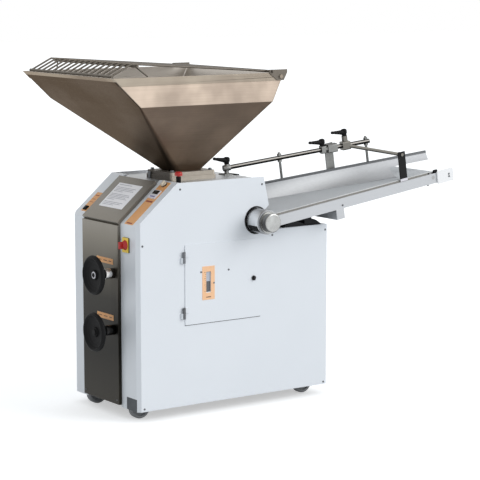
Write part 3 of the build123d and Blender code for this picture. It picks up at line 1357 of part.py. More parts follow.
def fork(wheel_x, head_x, side, head_top):
    """Two cheeks from the head down to the axle, with the axle between them."""
    for sign in (-1, 1):
        outer_side = side + sign * fork_gap + (FORK_WALL if sign > 0 else 0)
        with BuildSketch(upright(outer_side)) as profile:
            with BuildLine():
                Polyline(
                    (head_x - FORK_HALF_TOP, head_top), (head_x + FORK_HALF_TOP, head_top),
                    (wheel_x + FORK_HALF_AXLE, WHEEL_RADIUS), (wheel_x + FORK_HALF_FOOT, fork_foot),
                    (wheel_x - FORK_HALF_FOOT, fork_foot), (wheel_x - FORK_HALF_AXLE, WHEEL_RADIUS), close=True,
                )
            make_face()
        extrude(profile.sketch, amount=FORK_WALL)
    with BuildSketch(upright(side + fork_gap + FORK_WALL)) as profile:
        with Locations((wheel_x, WHEEL_RADIUS)):
            Circle(AXLE_RADIUS)
    extrude(profile.sketch, amount=2 * (fork_gap + FORK_WALL))


with BuildPart() as castor_mounts:
    for side in (near_castor, far_castor):
        for place in (swivel_x, rear_wheel_x):
            with BuildSketch(Plane.XY.offset(plate_foot)):
                with Locations((place, side)):
                    RectangleRounded(CASTOR_PLATE_LENGTH, CASTOR_PLATE_WIDTH, CASTOR_PLATE_CORNER)
            extrude(amount=CASTOR_PLATE_THICKNESS)
        with BuildSketch(Plane.XY.offset(plate_foot)):
            with Locations((swivel_x, side)):
                Circle(SWIVEL_PIN_RADIUS)
        extrude(amount=-FORK_HEAD_HEIGHT - RUN)
        fork(rear_wheel_x, rear_wheel_x, side, plate_foot)
save(castor_mounts, "castor_mounts")


def front_fork(side):
    """Swivelling fork with a round head on the swivel pin and a guard over the wheel."""
    guard_inner = WHEEL_RADIUS + GUARD_GAP
    with BuildSketch(upright(side + fork_gap)) as profile:
        with Locations((front_wheel_x, WHEEL_RADIUS)):
            Circle(guard_inner + GUARD_THICKNESS)
            Circle(guard_inner, mode=Mode.SUBTRACT)
        with Locations((front_wheel_x, WHEEL_RADIUS + guard_inner * sin(radians(GUARD_ANGLE)))):
            Rectangle(4 * guard_inner, 2 * guard_inner, align=(Align.CENTER, Align.MAX), mode=Mode.SUBTRACT)
    extrude(profile.sketch, amount=2 * fork_gap)
    with BuildSketch(Plane.XY.offset(fork_head_foot)) as profile:
        with Locations((swivel_x, side)):
            Circle(FORK_HEAD_RADIUS)
    extrude(profile.sketch, amount=FORK_HEAD_HEIGHT)
    fork(front_wheel_x, swivel_x, side, fork_head_foot + FORK_WELD)
    with BuildSketch(Plane.XY.offset(fork_head_foot)) as profile:
        with Locations((swivel_x, side)):
            Circle(SWIVEL_PIN_RADIUS + FIT)
    extrude(profile.sketch, amount=FORK_HEAD_HEIGHT + OVERCUT, mode=Mode.SUBTRACT)


with BuildPart() as near_front_fork:
    front_fork(near_castor)
save(near_front_fork, "near_front_fork")

with BuildPart() as far_front_fork:
    front_fork(far_castor)
save(far_front_fork, "far_front_fork")


def wheel(wheel_x, side):
    """Castor wheel with a rounded tread and a recessed disc."""
    axis = Axis((wheel_x, 0, WHEEL_RADIUS), (0, 1, 0))
    edge = WHEEL_WIDTH / 2
    floor = edge - WHEEL_RECESS
    tread = edge - WHEEL_TREAD_BEVEL
    shoulder = WHEEL_RADIUS - WHEEL_TREAD_BEVEL
    with BuildSketch(Plane(origin=(wheel_x, side, WHEEL_RADIUS), x_dir=(0, 1, 0), z_dir=(-1, 0, 0))) as profile:
        with BuildLine():
            Polyline(
                (-edge, AXLE_RADIUS + FIT), (-edge, WHEEL_HUB_RADIUS), (-floor, WHEEL_RECESS_INNER),
                (-floor, WHEEL_RECESS_OUTER), (-edge, WHEEL_RIM_RADIUS), (-edge, shoulder), (-tread, WHEEL_RADIUS),
                (tread, WHEEL_RADIUS), (edge, shoulder), (edge, WHEEL_RIM_RADIUS), (floor, WHEEL_RECESS_OUTER),
                (floor, WHEEL_RECESS_INNER), (edge, WHEEL_HUB_RADIUS), (edge, AXLE_RADIUS + FIT), close=True,
            )
        make_face()
    revolve(profile.sketch, axis=axis)


wheel_places = {
    "near_front_wheel": (front_wheel_x, near_castor),
    "far_front_wheel": (front_wheel_x, far_castor),
    "near_rear_wheel": (rear_wheel_x, near_castor),
    "far_rear_wheel": (rear_wheel_x, far_castor),
}
for wheel_name, (wheel_x, wheel_side) in wheel_places.items():
    with BuildPart() as castor_wheel:
        wheel(wheel_x, wheel_side)
    save(castor_wheel, wheel_name)

# Dividing head: chamber for the piston and knife, side cheeks for the measuring drum
measure_x = front + MEASURE_FROM_FRONT
chamber_top = piston_foot + PISTON_HEIGHT
knife_foot = chamber_top + RUN
knife_top = knife_foot + KNIFE_THICKNESS
head_front = front + HEAD_FRONT
with BuildPart() as head_casting:
    with BuildSketch(upright(HEAD_HALF_WIDTH + CHEEK_THICKNESS)):
        with Locations((head_front + HEAD_LENGTH / 2, (head_foot + head_top) / 2)):
            Rectangle(HEAD_LENGTH, head_top - head_foot)
        with BuildLine():
            Polyline(
                (measure_x, head_foot + CHEEK_FOOT_RISE), (front + CHEEK_END, measure_height - CHEEK_NOSE_BELOW),
                (front + CHEEK_END, measure_height + CHEEK_NOSE_ABOVE), (measure_x, head_top), close=True,
            )
        make_face()
    extrude(amount=2 * (HEAD_HALF_WIDTH + CHEEK_THICKNESS))
    with BuildSketch(upright(HEAD_HALF_WIDTH)):
        with Locations((measure_x, measure_height)):
            Circle(MEASURE_RADIUS + RUN)
        with Locations((measure_x + HEAD_LENGTH / 2, (head_foot + head_top) / 2)):
            Rectangle(HEAD_LENGTH, head_top - head_foot + 2 * OVERCUT)
    extrude(amount=2 * HEAD_HALF_WIDTH, mode=Mode.SUBTRACT)
    with BuildSketch(upright(HEAD_HALF_WIDTH + CHEEK_THICKNESS)):
        with Locations((measure_x, measure_height)):
            Circle(JOURNAL_RADIUS + FIT)
    extrude(amount=2 * (HEAD_HALF_WIDTH + CHEEK_THICKNESS), mode=Mode.SUBTRACT)
    with BuildSketch(facing_front(head_front)):
        with Locations((0, (piston_foot + knife_top + RUN) / 2)):
            Rectangle(PISTON_WIDTH, knife_top + RUN - piston_foot)
        with Locations((0, (knife_foot + knife_top) / 2)):
            Rectangle(KNIFE_WIDTH + 2 * RUN, KNIFE_THICKNESS + 2 * RUN)
    extrude(amount=-(measure_x - head_front), mode=Mode.SUBTRACT)
    with BuildSketch(Plane.XY.offset(head_top)):
        with Locations((throat_x, 0)):
            Rectangle(THROAT_LENGTH, THROAT_WIDTH)
    extrude(amount=-(head_top - knife_top), mode=Mode.SUBTRACT)
save(head_casting, "head_casting")

piston_back = front + PISTON_REST
wrist_x = piston_back - WRIST_FROM_PISTON
wrist_z = piston_foot + PISTON_HEIGHT / 2
lug_gap = ROD_PLATE / 2 + RUN
lug_wall = ROD_PLATE
with BuildPart() as main_piston:
    with BuildSketch(facing_front(piston_back)):
        with Locations((0, wrist_z)):
            Rectangle(PISTON_WIDTH - 2 * RUN, PISTON_HEIGHT - 2 * RUN)
    extrude(amount=-PISTON_LENGTH)
    for sign in (-1, 1):
        outer_side = sign * lug_gap + (lug_wall if sign > 0 else 0)
        with BuildSketch(upright(outer_side)):
            with Locations((wrist_x, wrist_z)):
                Circle(WRIST_RADIUS * 2)
            with Locations(((wrist_x + piston_back) / 2, wrist_z)):
                Rectangle(piston_back - wrist_x, WRIST_RADIUS * 4)
        extrude(amount=lug_wall)
    with BuildSketch(upright(lug_gap + lug_wall)):
        with Locations((wrist_x, wrist_z)):
            Circle(WRIST_RADIUS)
    extrude(amount=2 * (lug_gap + lug_wall))
save(main_piston, "main_piston")

with BuildPart() as knife:
    with BuildSketch(Plane.XY.offset(knife_foot)):
        with Locations((front + KNIFE_REST + KNIFE_LENGTH / 2, 0)):
            Rectangle(KNIFE_LENGTH, KNIFE_WIDTH)
    extrude(amount=KNIFE_THICKNESS)
    chamfer(knife.edges().filter_by(Axis.Y).group_by(Axis.X)[-1].group_by(Axis.Z)[-1], KNIFE_BEVEL)
save(knife, "knife")

# Measuring drum with its dough pocket towards the chamber
with BuildPart() as measuring_drum:
    with BuildSketch(upright(HEAD_HALF_WIDTH - RUN)):
        with Locations((measure_x, measure_height)):
            Circle(MEASURE_RADIUS)
    extrude(amount=2 * (HEAD_HALF_WIDTH - RUN))
    with BuildSketch(upright(HEAD_HALF_WIDTH + CHEEK_THICKNESS)):
        with Locations((measure_x, measure_height)):
            Circle(JOURNAL_RADIUS)
    extrude(amount=2 * (HEAD_HALF_WIDTH + CHEEK_THICKNESS))
    with BuildSketch(facing_front(measure_x - MEASURE_RADIUS)):
        with Locations((0, measure_height)):
            Circle(MEASURE_BORE_RADIUS)
    extrude(amount=-MEASURE_BORE_DEPTH, mode=Mode.SUBTRACT)
save(measuring_drum, "measuring_drum")

with BuildPart() as pedestal:
    with BuildSketch(Plane.XY.offset(chassis_top)):
        with Locations((throat_x, 0)):
            Rectangle(PEDESTAL_LENGTH, PEDESTAL_WIDTH)
            Rectangle(
                PEDESTAL_LENGTH - 2 * PEDESTAL_WALL, PEDESTAL_WIDTH - 2 * PEDESTAL_WALL, mode=Mode.SUBTRACT,
            )
    extrude(amount=head_foot - chassis_top)
save(pedestal, "pedestal")

# Variable-speed gear motor: foot, variator housing, gearbox column, motor and output shaft
crank_x = front + CRANK_FROM_FRONT
variator_front = front + VARIATOR_FRONT
variator_mid = variator_front + VARIATOR_LENGTH / 2
gearbox_far = GEARBOX_FACE + GEARBOX_DEPTH
with BuildPart() as gear_motor:
    with BuildSketch(Plane.XY.offset(chassis_top)):
        with Locations((variator_mid, 0)):
            Rectangle(VARIATOR_LENGTH - 2 * VARIATOR_FOOT_INSET, gearbox_far)
    extrude(amount=VARIATOR_FOOT - chassis_top)
    with BuildSketch(Plane.XY.offset(VARIATOR_FOOT)):
        with Locations((variator_mid, (VARIATOR_NEAR + gearbox_far) / 2)):
            RectangleRounded(VARIATOR_LENGTH, gearbox_far - VARIATOR_NEAR, GEARBOX_CORNER)
    extrude(amount=VARIATOR_HEIGHT)
    with BuildSketch(Plane.XY.offset(VARIATOR_FOOT + VARIATOR_HEIGHT)):
        with Locations((crank_x, GEARBOX_FACE + GEARBOX_DEPTH / 2)):
            RectangleRounded(GEARBOX_LENGTH, GEARBOX_DEPTH, GEARBOX_CORNER)
    extrude(amount=crank_height + GEARBOX_LENGTH / 2 - VARIATOR_FOOT - VARIATOR_HEIGHT)
    with BuildSketch(Plane.YZ.offset(variator_front + VARIATOR_LENGTH)):
        with Locations((MOTOR_SIDE, VARIATOR_FOOT + VARIATOR_HEIGHT / 2)):
            Circle(MOTOR_RADIUS)
    extrude(amount=MOTOR_LENGTH)
    with BuildSketch(upright(GEARBOX_FACE)):
        with Locations((crank_x, crank_height)):
            Circle(CRANK_SHAFT_RADIUS)
    extrude(amount=GEARBOX_FACE - ROD_PLATE / 2 - RUN)
save(gear_motor, "gear_motor")

disc_far = ROD_PLATE / 2 + RUN + CRANK_THICKNESS
with BuildPart() as crank_disc:
    with BuildSketch(upright(disc_far)):
        with Locations((crank_x, crank_height)):
            Circle(CRANK_RADIUS)
            Circle(CRANK_SHAFT_RADIUS + FIT, mode=Mode.SUBTRACT)
    extrude(amount=CRANK_THICKNESS)
    with BuildSketch(upright(GEARBOX_FACE - RUN)):
        with Locations((crank_x, crank_height)):
            Circle(CRANK_HUB_RADIUS)
            Circle(CRANK_SHAFT_RADIUS + FIT, mode=Mode.SUBTRACT)
    extrude(amount=GEARBOX_FACE - RUN - disc_far)
save(crank_disc, "crank_disc")

with BuildPart() as con_rod:
    pin_at = Vector(crank_x, crank_height + CRANK_THROW)
    wrist_at = Vector(wrist_x, wrist_z)
    with BuildSketch(upright(ROD_PLATE / 2)):
        with Locations((pin_at.X, pin_at.Y)):
            Circle(ROD_BIG_END_RADIUS)
        with Locations((wrist_at.X, wrist_at.Y)):
            Circle(ROD_SMALL_END_RADIUS)
        with Locations(((pin_at.X + wrist_at.X) / 2, (pin_at.Y + wrist_at.Y) / 2)):
            Rectangle(
                (wrist_at - pin_at).length, WRIST_RADIUS * 2,
                rotation=degrees(atan2(wrist_at.Y - pin_at.Y, wrist_at.X - pin_at.X)),
            )
        with Locations((wrist_at.X, wrist_at.Y)):
            Circle(WRIST_RADIUS + FIT, mode=Mode.SUBTRACT)
    extrude(amount=ROD_PLATE)
save(con_rod, "con_rod")
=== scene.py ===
"""Looks of a mobile volumetric dough divider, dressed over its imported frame."""
from math import cos, pi, radians, sin, tau

import bmesh
import bpy
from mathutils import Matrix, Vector


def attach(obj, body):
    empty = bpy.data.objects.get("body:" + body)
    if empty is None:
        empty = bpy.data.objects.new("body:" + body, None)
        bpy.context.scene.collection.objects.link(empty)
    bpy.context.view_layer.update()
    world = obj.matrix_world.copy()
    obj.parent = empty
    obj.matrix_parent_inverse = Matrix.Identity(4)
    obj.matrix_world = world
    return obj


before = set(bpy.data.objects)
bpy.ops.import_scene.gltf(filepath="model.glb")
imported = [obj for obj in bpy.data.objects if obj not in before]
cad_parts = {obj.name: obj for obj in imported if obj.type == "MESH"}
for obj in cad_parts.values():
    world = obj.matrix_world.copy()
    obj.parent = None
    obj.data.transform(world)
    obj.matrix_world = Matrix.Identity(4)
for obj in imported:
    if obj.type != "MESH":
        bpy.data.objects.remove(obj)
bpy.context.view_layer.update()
scene = bpy.context.scene
scene.view_settings.view_transform = "Standard"


# Studio: a pale floor under an even white surround and one broad soft lamp from the near right.
# The floor and the surround show white to the camera and in the metal, and light the machine
# at a plain level. The camera stands low in front of the near corner with a long lens.
ROOM_TONE, ROOM_LEVEL = (0.95, 0.98, 1.0, 1), 0.84
LAMP_POWER, LAMP_SPREAD, LAMP_AIM = 1.45, radians(40), Vector((-0.64, 0.67, -0.45))
FLOOR_REACH = 40.0
FLOOR_LIT, FLOOR_SEEN, FLOOR_GLOW = (0.5, 0.51, 0.52, 1), (0.74, 0.75, 0.76, 1), 0.46
CAMERA_STAND = (-4.7456, -7.0412, 1.9690)
CAMERA_YAW, CAMERA_PITCH = radians(54.85), radians(-8.58)


def place(tree, kind, settings=(), **sockets):
    """One shader node with its settings and its unlinked sockets filled in."""
    node = tree.nodes.new("ShaderNode" + kind)
    for key, value in dict(settings).items():
        setattr(node, key, value)
    for key, value in sockets.items():
        node.inputs[key.replace("_", " ")].default_value = value
    return node


def sum_up(tree, operation, first, second):
    """Math node between two sockets or numbers."""
    node = place(tree, "Math", {"operation": operation})
    for slot, value in zip(node.inputs, (first, second)):
        if isinstance(value, (int, float)):
            slot.default_value = value
        else:
            tree.links.new(value, slot)
    return node.outputs[0]


def blended(tree, factor, first, second):
    """Mix of two colours, each a socket or four numbers; the node keeps its colours in sockets 6, 7 and 2."""
    node = place(tree, "Mix", {"data_type": "RGBA"})
    tree.links.new(factor, node.inputs["Factor"])
    for slot, colour in ((6, first), (7, second)):
        if isinstance(colour, tuple):
            node.inputs[slot].default_value = colour
        else:
            tree.links.new(colour, node.inputs[slot])
    return node.outputs[2]


def seen_rays(tree):
    """Mask of the rays that show the surround: from the camera, from gloss and through glass."""
    path = place(tree, "LightPath").outputs
    direct = sum_up(tree, "MAXIMUM", path["Is Camera Ray"], path["Is Glossy Ray"])
    return sum_up(tree, "MAXIMUM", direct, path["Is Transmission Ray"])


surround = bpy.data.worlds.new("studio_surround")
surround.use_nodes = True
tree = surround.node_tree
tree.nodes.clear()
room_light = place(tree, "Background", Color=ROOM_TONE, Strength=ROOM_LEVEL)
white_wall = place(tree, "Background", Color=(1, 1, 1, 1))
choice = place(tree, "MixShader")
result = place(tree, "OutputWorld")
tree.links.new(seen_rays(tree), choice.inputs["Fac"])
tree.links.new(room_light.outputs[0], choice.inputs[1])
tree.links.new(white_wall.outputs[0], choice.inputs[2])
tree.links.new(choice.outputs[0], result.inputs["Surface"])
scene.world = surround

lamp_data = bpy.data.lights.new("soft_lamp", "SUN")
lamp_data.energy = LAMP_POWER
lamp_data.angle = LAMP_SPREAD
lamp = bpy.data.objects.new("soft_lamp", lamp_data)
lamp.rotation_euler = LAMP_AIM.to_track_quat("-Z", "Y").to_euler()
scene.collection.objects.link(lamp)

floor_mesh = bpy.data.meshes.new("studio_floor")
corners = [(x * FLOOR_REACH, y * FLOOR_REACH, 0) for x, y in ((-1, -1), (1, -1), (1, 1), (-1, 1))]
floor_mesh.from_pydata(corners, [], [(0, 1, 2, 3)])
floor = bpy.data.objects.new("studio_floor", floor_mesh)
scene.collection.objects.link(floor)
pale = bpy.data.materials.new("pale_floor")
pale.use_nodes = True
tree = pale.node_tree
tree.nodes.clear()
matt = place(tree, "BsdfDiffuse")
glow = place(tree, "Emission")
both = place(tree, "AddShader")
result = place(tree, "OutputMaterial")
tree.links.new(blended(tree, seen_rays(tree), FLOOR_LIT, FLOOR_SEEN), matt.inputs["Color"])
tree.links.new(sum_up(tree, "MULTIPLY", seen_rays(tree), FLOOR_GLOW), glow.inputs["Strength"])
tree.links.new(matt.outputs[0], both.inputs[0])
tree.links.new(glow.outputs[0], both.inputs[1])
tree.links.new(both.outputs[0], result.inputs["Surface"])
floor_mesh.materials.append(pale)

camera_data = bpy.data.cameras.new("studio_camera")
camera_data.lens = 138.9
camera_data.sensor_width = 36.0
camera_data.shift_y = 0.0256
camera_data.clip_end = 200.0
camera = bpy.data.objects.new("studio_camera", camera_data)
sight = Vector((cos(CAMERA_PITCH) * cos(CAMERA_YAW), cos(CAMERA_PITCH) * sin(CAMERA_YAW), sin(CAMERA_PITCH)))
camera.location = CAMERA_STAND
camera.rotation_euler = sight.to_track_quat("-Z", "Y").to_euler()
scene.collection.objects.link(camera)
scene.camera = camera


# Side panels and corner posts: folded sheet steel, 3 mm, in a smooth white enamel with a cool cast.
# The panels hang on domed socket screws near their corners; the posts are bent strips with a wide
# outer bevel, notched at the foot for the castors.
def tint(red, green, blue):
    """Colour picked in display values, as linear light."""
    def linear(value):
        value /= 255
        return value / 12.92 if value <= 0.04045 else ((value + 0.055) / 1.055) ** 2.4
    return linear(red), linear(green), linear(blue), 1.0


def effect(name, inputs):
    """Empty shader group with named sockets; gives the tree, what goes in and what comes out."""
    group = bpy.data.node_groups.new(name, "ShaderNodeTree")
    for label, kind, value in inputs:
        socket = group.interface.new_socket(label, in_out="INPUT", socket_type="NodeSocket" + kind)
        socket.default_value = value
    for label, kind in (("Color", "Color"), ("Roughness", "Float"), ("Height", "Float")):
        group.interface.new_socket(label, in_out="OUTPUT", socket_type="NodeSocket" + kind)
    return group, group.nodes.new("NodeGroupInput").outputs, group.nodes.new("NodeGroupOutput").inputs


def speckle(tree, scale, detail=2.0, stretch=None):
    """Noise over the piece's own coordinates, stretched along its grain where asked."""
    where = place(tree, "TexCoord").outputs["Object"]
    if stretch is not None:
        run = place(tree, "VectorMath", {"operation": "MULTIPLY"})
        tree.links.new(where, run.inputs[0])
        tree.links.new(stretch, run.inputs[1])
        where = run.outputs[0]
    noise = place(tree, "TexNoise", Scale=scale, Detail=detail)
    tree.links.new(where, noise.inputs["Vector"])
    return noise.outputs["Fac"]


enamel_skin, given, told = effect("enamel_skin", [
    ("Color", "Color", tint(228, 232, 237)), ("Shade", "Color", tint(205, 210, 217)),
    ("Dust", "Float", 0.35), ("Roughness", "Float", 0.34)])
UNEVEN_GLOSS = 0.14
cloud = speckle(enamel_skin, scale=2.3)
peel = speckle(enamel_skin, scale=420.0, detail=3.0)
dusty = sum_up(enamel_skin, "MULTIPLY", cloud, given["Dust"])
uneven = sum_up(enamel_skin, "MULTIPLY", cloud, UNEVEN_GLOSS)
enamel_skin.links.new(blended(enamel_skin, dusty, given["Color"], given["Shade"]), told["Color"])
enamel_skin.links.new(sum_up(enamel_skin, "ADD", given["Roughness"], uneven), told["Roughness"])
enamel_skin.links.new(peel, told["Height"])


def coat(name, group, values, metallic=0.0, bump=0.1, **sockets):
    """Material whose colour, roughness and relief come from one shared effect."""
    material = bpy.data.materials.new(name)
    material.use_nodes = True
    tree = material.node_tree
    skin = tree.nodes["Principled BSDF"]
    skin.inputs["Metallic"].default_value = metallic
    for key, value in sockets.items():
        skin.inputs[key.replace("_", " ")].default_value = value
    source = place(tree, "Group", {"node_tree": group})
    for key, value in values.items():
        source.inputs[key].default_value = value
    relief = place(tree, "Bump", Strength=bump, Distance=0.0006)
    tree.links.new(source.outputs["Color"], skin.inputs["Base Color"])
    tree.links.new(source.outputs["Roughness"], skin.inputs["Roughness"])
    tree.links.new(source.outputs["Height"], relief.inputs["Height"])
    tree.links.new(relief.outputs["Normal"], skin.inputs["Normal"])
    return material


def dress(nodes, material, edge=0.0):
    """Give CAD nodes their finish, with a small broken edge where one shows."""
    for name in nodes.split():
        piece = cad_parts[name]
        piece.data.materials.clear()
        piece.data.materials.append(material)
        if edge:
            weld = piece.modifiers.new("joined_faces", "WELD")
            weld.merge_threshold = 0.00002
            soft = piece.modifiers.new("broken_edges", "BEVEL")
            soft.width = edge
            soft.segments = 2
            soft.limit_method = "ANGLE"
            soft.angle_limit = radians(35)
            soft.harden_normals = True


PLAIN_EDGE = 0.0008
ENAMEL_GLOSS = {"Coat_Weight": 0.25, "Coat_Roughness": 0.2}
white_enamel = coat("white_enamel", enamel_skin, {}, bump=0.05, **ENAMEL_GLOSS)
dress("near_side_panel far_side_panel front_posts block_cover", white_enamel, PLAIN_EDGE)

SCREW_RADIUS, SCREW_HEIGHT, SCREW_SIDES = 0.0048, 0.0026, 24
SCREW_RINGS = ((0, 1.0, False), (0.35, 1.0, False), (0.8, 0.84, False), (1.0, 0.6, False), (1.0, 0.5, True),
               (0.3, 0.48, True))


def axes_of(normal):
    """Two directions square to a normal and to each other."""
    normal = Vector(normal).normalized()
    side = Vector((0, 0, 1)) if abs(normal.z) < 0.9 else Vector((1, 0, 0))
    first = side.cross(normal).normalized()
    return first, normal.cross(first), normal


def close_up(shape, rings):
    """Faces between rings of equal count and over both ends."""
    for low, high in zip(rings, rings[1:]):
        for k in range(len(low)):
            n = (k + 1) % len(low)
            shape.faces.new((low[k], low[n], high[n], high[k]))
    shape.faces.new(rings[-1])
    shape.faces.new(list(reversed(rings[0])))


def circle(shape, centre, first, second, radius, sides):
    """Ring of points about a centre, in the plane of two directions."""
    turns = [tau * k / sides for k in range(sides)]
    return [shape.verts.new(centre + first * (radius * cos(a)) + second * (radius * sin(a))) for a in turns]


def lathe(shape, profile, centre, axis, sides=32):
    """Turn (along, radius) points about an axis into closed skin; end points at radius 0 close it."""
    first, second, along = axes_of(axis)
    centre = Vector(centre)
    rings = []
    for height, radius in profile:
        middle = centre + along * height
        rings.append(circle(shape, middle, first, second, radius, sides) if radius
                     else [shape.verts.new(middle)])
    for low, high in zip(rings, rings[1:]):
        for k in range(sides):
            corners = [low[k % len(low)], low[(k + 1) % len(low)], high[(k + 1) % len(high)],
                       high[k % len(high)]]
            unique = list(dict.fromkeys(corners))
            if len(unique) > 2:
                shape.faces.new(unique)


def socket_screw(shape, centre, normal, radius=SCREW_RADIUS, height=SCREW_HEIGHT):
    """Domed screw head with a six-sided socket."""
    first, second, along = axes_of(normal)
    centre = Vector(centre)
    rings = []
    for level, width, hexed in SCREW_RINGS:
        ring = []
        for k in range(SCREW_SIDES):
            turn = tau * k / SCREW_SIDES
            reach = radius * width
            if hexed:
                reach *= cos(pi / 6) / cos(turn % (pi / 3) - pi / 6)
            ring.append(shape.verts.new(centre + along * (height * level)
                                        + first * (reach * cos(turn)) + second * (reach * sin(turn))))
        rings.append(ring)
    close_up(shape, rings)


def fit(name, shape, material, body, smooth=30):
    """Turn a finished shape into a piece that rides on its body."""
    bmesh.ops.recalc_face_normals(shape, faces=shape.faces)
    mesh = bpy.data.meshes.new(name)
    shape.to_mesh(mesh)
    shape.free()
    mesh.materials.append(material)
    piece = bpy.data.objects.new(name, mesh)
    scene.collection.objects.link(piece)
    if smooth:
        mesh.shade_smooth()
        mesh.set_sharp_from_angle(angle=radians(smooth))
    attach(piece, body)


# Brushed sheet: streaks along the grain and broad smears, with a painted shade towards the dark colour on
# faces turned away from the given facing direction.
brushed_sheet, given, told = effect("brushed_sheet", [
    ("Color", "Color", tint(170, 165, 158)), ("Dark", "Color", tint(120, 115, 108)),
    ("Grain", "Vector", (3.0, 300.0, 300.0)), ("Streaks", "Float", 0.5), ("Roughness", "Float", 0.36),
    ("Facing", "Vector", (0.0, 0.0, 1.0)), ("Facing Depth", "Float", 0.0), ("Facing Edge", "Float", -0.6)])
STREAK_SHARE, SMEAR_SHARE, RUBBED_GLOSS = 0.6, 0.4, 0.16
streak = speckle(brushed_sheet, scale=1.0, detail=3.0, stretch=given["Grain"])
smear = speckle(brushed_sheet, scale=3.1)
mixed = sum_up(brushed_sheet, "ADD", sum_up(brushed_sheet, "MULTIPLY", streak, STREAK_SHARE),
               sum_up(brushed_sheet, "MULTIPLY", smear, SMEAR_SHARE))
depth = sum_up(brushed_sheet, "MULTIPLY", mixed, given["Streaks"])
tone = blended(brushed_sheet, depth, given["Color"], given["Dark"])
aim = place(brushed_sheet, "VectorMath", {"operation": "DOT_PRODUCT"})
brushed_sheet.links.new(place(brushed_sheet, "TexCoord").outputs["Normal"], aim.inputs[0])
brushed_sheet.links.new(given["Facing"], aim.inputs[1])
turned = place(brushed_sheet, "MapRange", {"interpolation_type": "SMOOTHSTEP"}, From_Min=1.0)
brushed_sheet.links.new(aim.outputs["Value"], turned.inputs["Value"])
brushed_sheet.links.new(given["Facing Edge"], turned.inputs["From Max"])
# painted shade: how far faces turned from the facing direction go dark
painted_shade = sum_up(brushed_sheet, "MULTIPLY", turned.outputs[0], given["Facing Depth"])
brushed_sheet.links.new(blended(brushed_sheet, painted_shade, tone, given["Dark"]), told["Color"])
rubbed = sum_up(brushed_sheet, "MULTIPLY", streak, RUBBED_GLOSS)
brushed_sheet.links.new(sum_up(brushed_sheet, "ADD", given["Roughness"], rubbed), told["Roughness"])
brushed_sheet.links.new(streak, told["Height"])

screw_steel = coat("screw_steel", brushed_sheet,
                   {"Color": tint(120, 122, 125), "Dark": tint(60, 60, 62), "Grain": (90, 90, 90)},
                   metallic=1.0)
NEAR_FACE, FAR_FACE, REAR_FACE = -0.265, 0.288, 0.522
PANEL_SCREWS = ((-0.297, 1.026), (0.148, 1.021), (-0.495, 0.789), (-0.490, 0.061), (0.206, 0.7834),
                (0.512, 0.784), (0.506, 0.059))
REAR_SCREW_SIDES, REAR_SCREW_HEIGHTS = (-0.238, 0.0115, 0.261), (0.066, 0.430, 0.792)
panel_screws = bmesh.new()
for x, z in PANEL_SCREWS:
    socket_screw(panel_screws, (x, NEAR_FACE, z), (0, -1, 0))
    socket_screw(panel_screws, (x, FAR_FACE, z), (0, 1, 0))
for y in REAR_SCREW_SIDES:
    for z in REAR_SCREW_HEIGHTS:
        socket_screw(panel_screws, (REAR_FACE, y, z), (1, 0, 0))
fit("panel_screws", panel_screws, screw_steel, "cabinet")


# Raised front panel: a stainless tray over the upright and the slope, brushed up and down.
# Two orange foil plates are stuck beside the handwheels and a ruled instruction card on the slope;
# two screws hold the tray's foot.
front_steel = coat("front_steel", brushed_sheet,
                   {"Dark": tint(58, 55, 50), "Grain": (420.0, 420.0, 2.5), "Streaks": 0.45,
                    "Roughness": 0.34}, metallic=1.0, bump=0.12)
WIDE_EDGE = 0.0012
dress("front_panel", front_steel, WIDE_EDGE)


def opened(material):
    """Tree of a finished coat and its effect node, for a colour that changes over the piece."""
    tree = material.node_tree
    return tree, next(node for node in tree.nodes if node.type == "GROUP")


def split(tree, output):
    """Sockets X, Y and Z of each point's place (Object) or of the way it faces (Normal)."""
    parts = place(tree, "SeparateXYZ")
    tree.links.new(place(tree, "TexCoord").outputs[output], parts.inputs[0])
    return parts.outputs


def shades(tree, value, first, last, between):
    """Colour ramp from the first colour at 0 to the last at 1, through (level, colour) stops."""
    node = place(tree, "ValToRGB")
    stops = node.color_ramp.elements
    stops[0].color, stops[1].color = first, last
    for level, colour in between:
        stops.new(level).color = colour
    tree.links.new(value, node.inputs["Fac"])
    return node.outputs["Color"]


# Painted shade and reflection: the panel's colour darkens towards the bottom, and faces looking down under
# the slope's lip get a paler painted tone against their shade.
tree, source = opened(front_steel)
PANEL_PAINTED_SHADE = ((0.30, tint(28, 27, 25)), (0.53, tint(48, 46, 42)), (0.66, tint(90, 86, 78)),
                (0.80, tint(134, 129, 119)), (0.86, tint(148, 143, 134)))
LIP_FACING = -0.4
painted_fade = shades(tree, split(tree, "Object")["Z"], tint(62, 59, 53), tint(140, 136, 128), PANEL_PAINTED_SHADE)
under_lip_painted_light = sum_up(tree, "LESS_THAN", split(tree, "Normal")["Z"], LIP_FACING)
tree.links.new(blended(tree, under_lip_painted_light, painted_fade, tint(150, 146, 138)), source.inputs["Color"])


def rounded(width, height, radius, steps=4):
    """Outline of a rounded rectangle about its middle."""
    points = []
    for turn, sx, sy in ((0, 1, 1), (1, -1, 1), (2, -1, -1), (3, 1, -1)):
        for k in range(steps + 1):
            angle = (turn + k / steps) * pi / 2
            points.append((sx * (width / 2 - radius) + radius * cos(angle),
                           sy * (height / 2 - radius) + radius * sin(angle)))
    return points


def plate(shape, outline, origin, right, up, thickness, edge=0.0004):
    """Flat plate with a broken upper edge; its face looks along right x up."""
    right, up = Vector(right).normalized(), Vector(up).normalized()
    out = right.cross(up)
    origin = Vector(origin)
    middle = Vector((sum(p[0] for p in outline), sum(p[1] for p in outline))) / len(outline)

    def ring(level, inset):
        verts = []
        for x, y in outline:
            pull = Vector((x, y)) - middle
            pull *= max(0.0, 1 - inset / max(pull.length, 1e-6))
            verts.append(shape.verts.new(origin + right * (middle.x + pull.x) + up * (middle.y + pull.y)
                                         + out * level))
        return verts

    close_up(shape, [ring(0, 0), ring(thickness - edge, 0), ring(thickness, edge)])


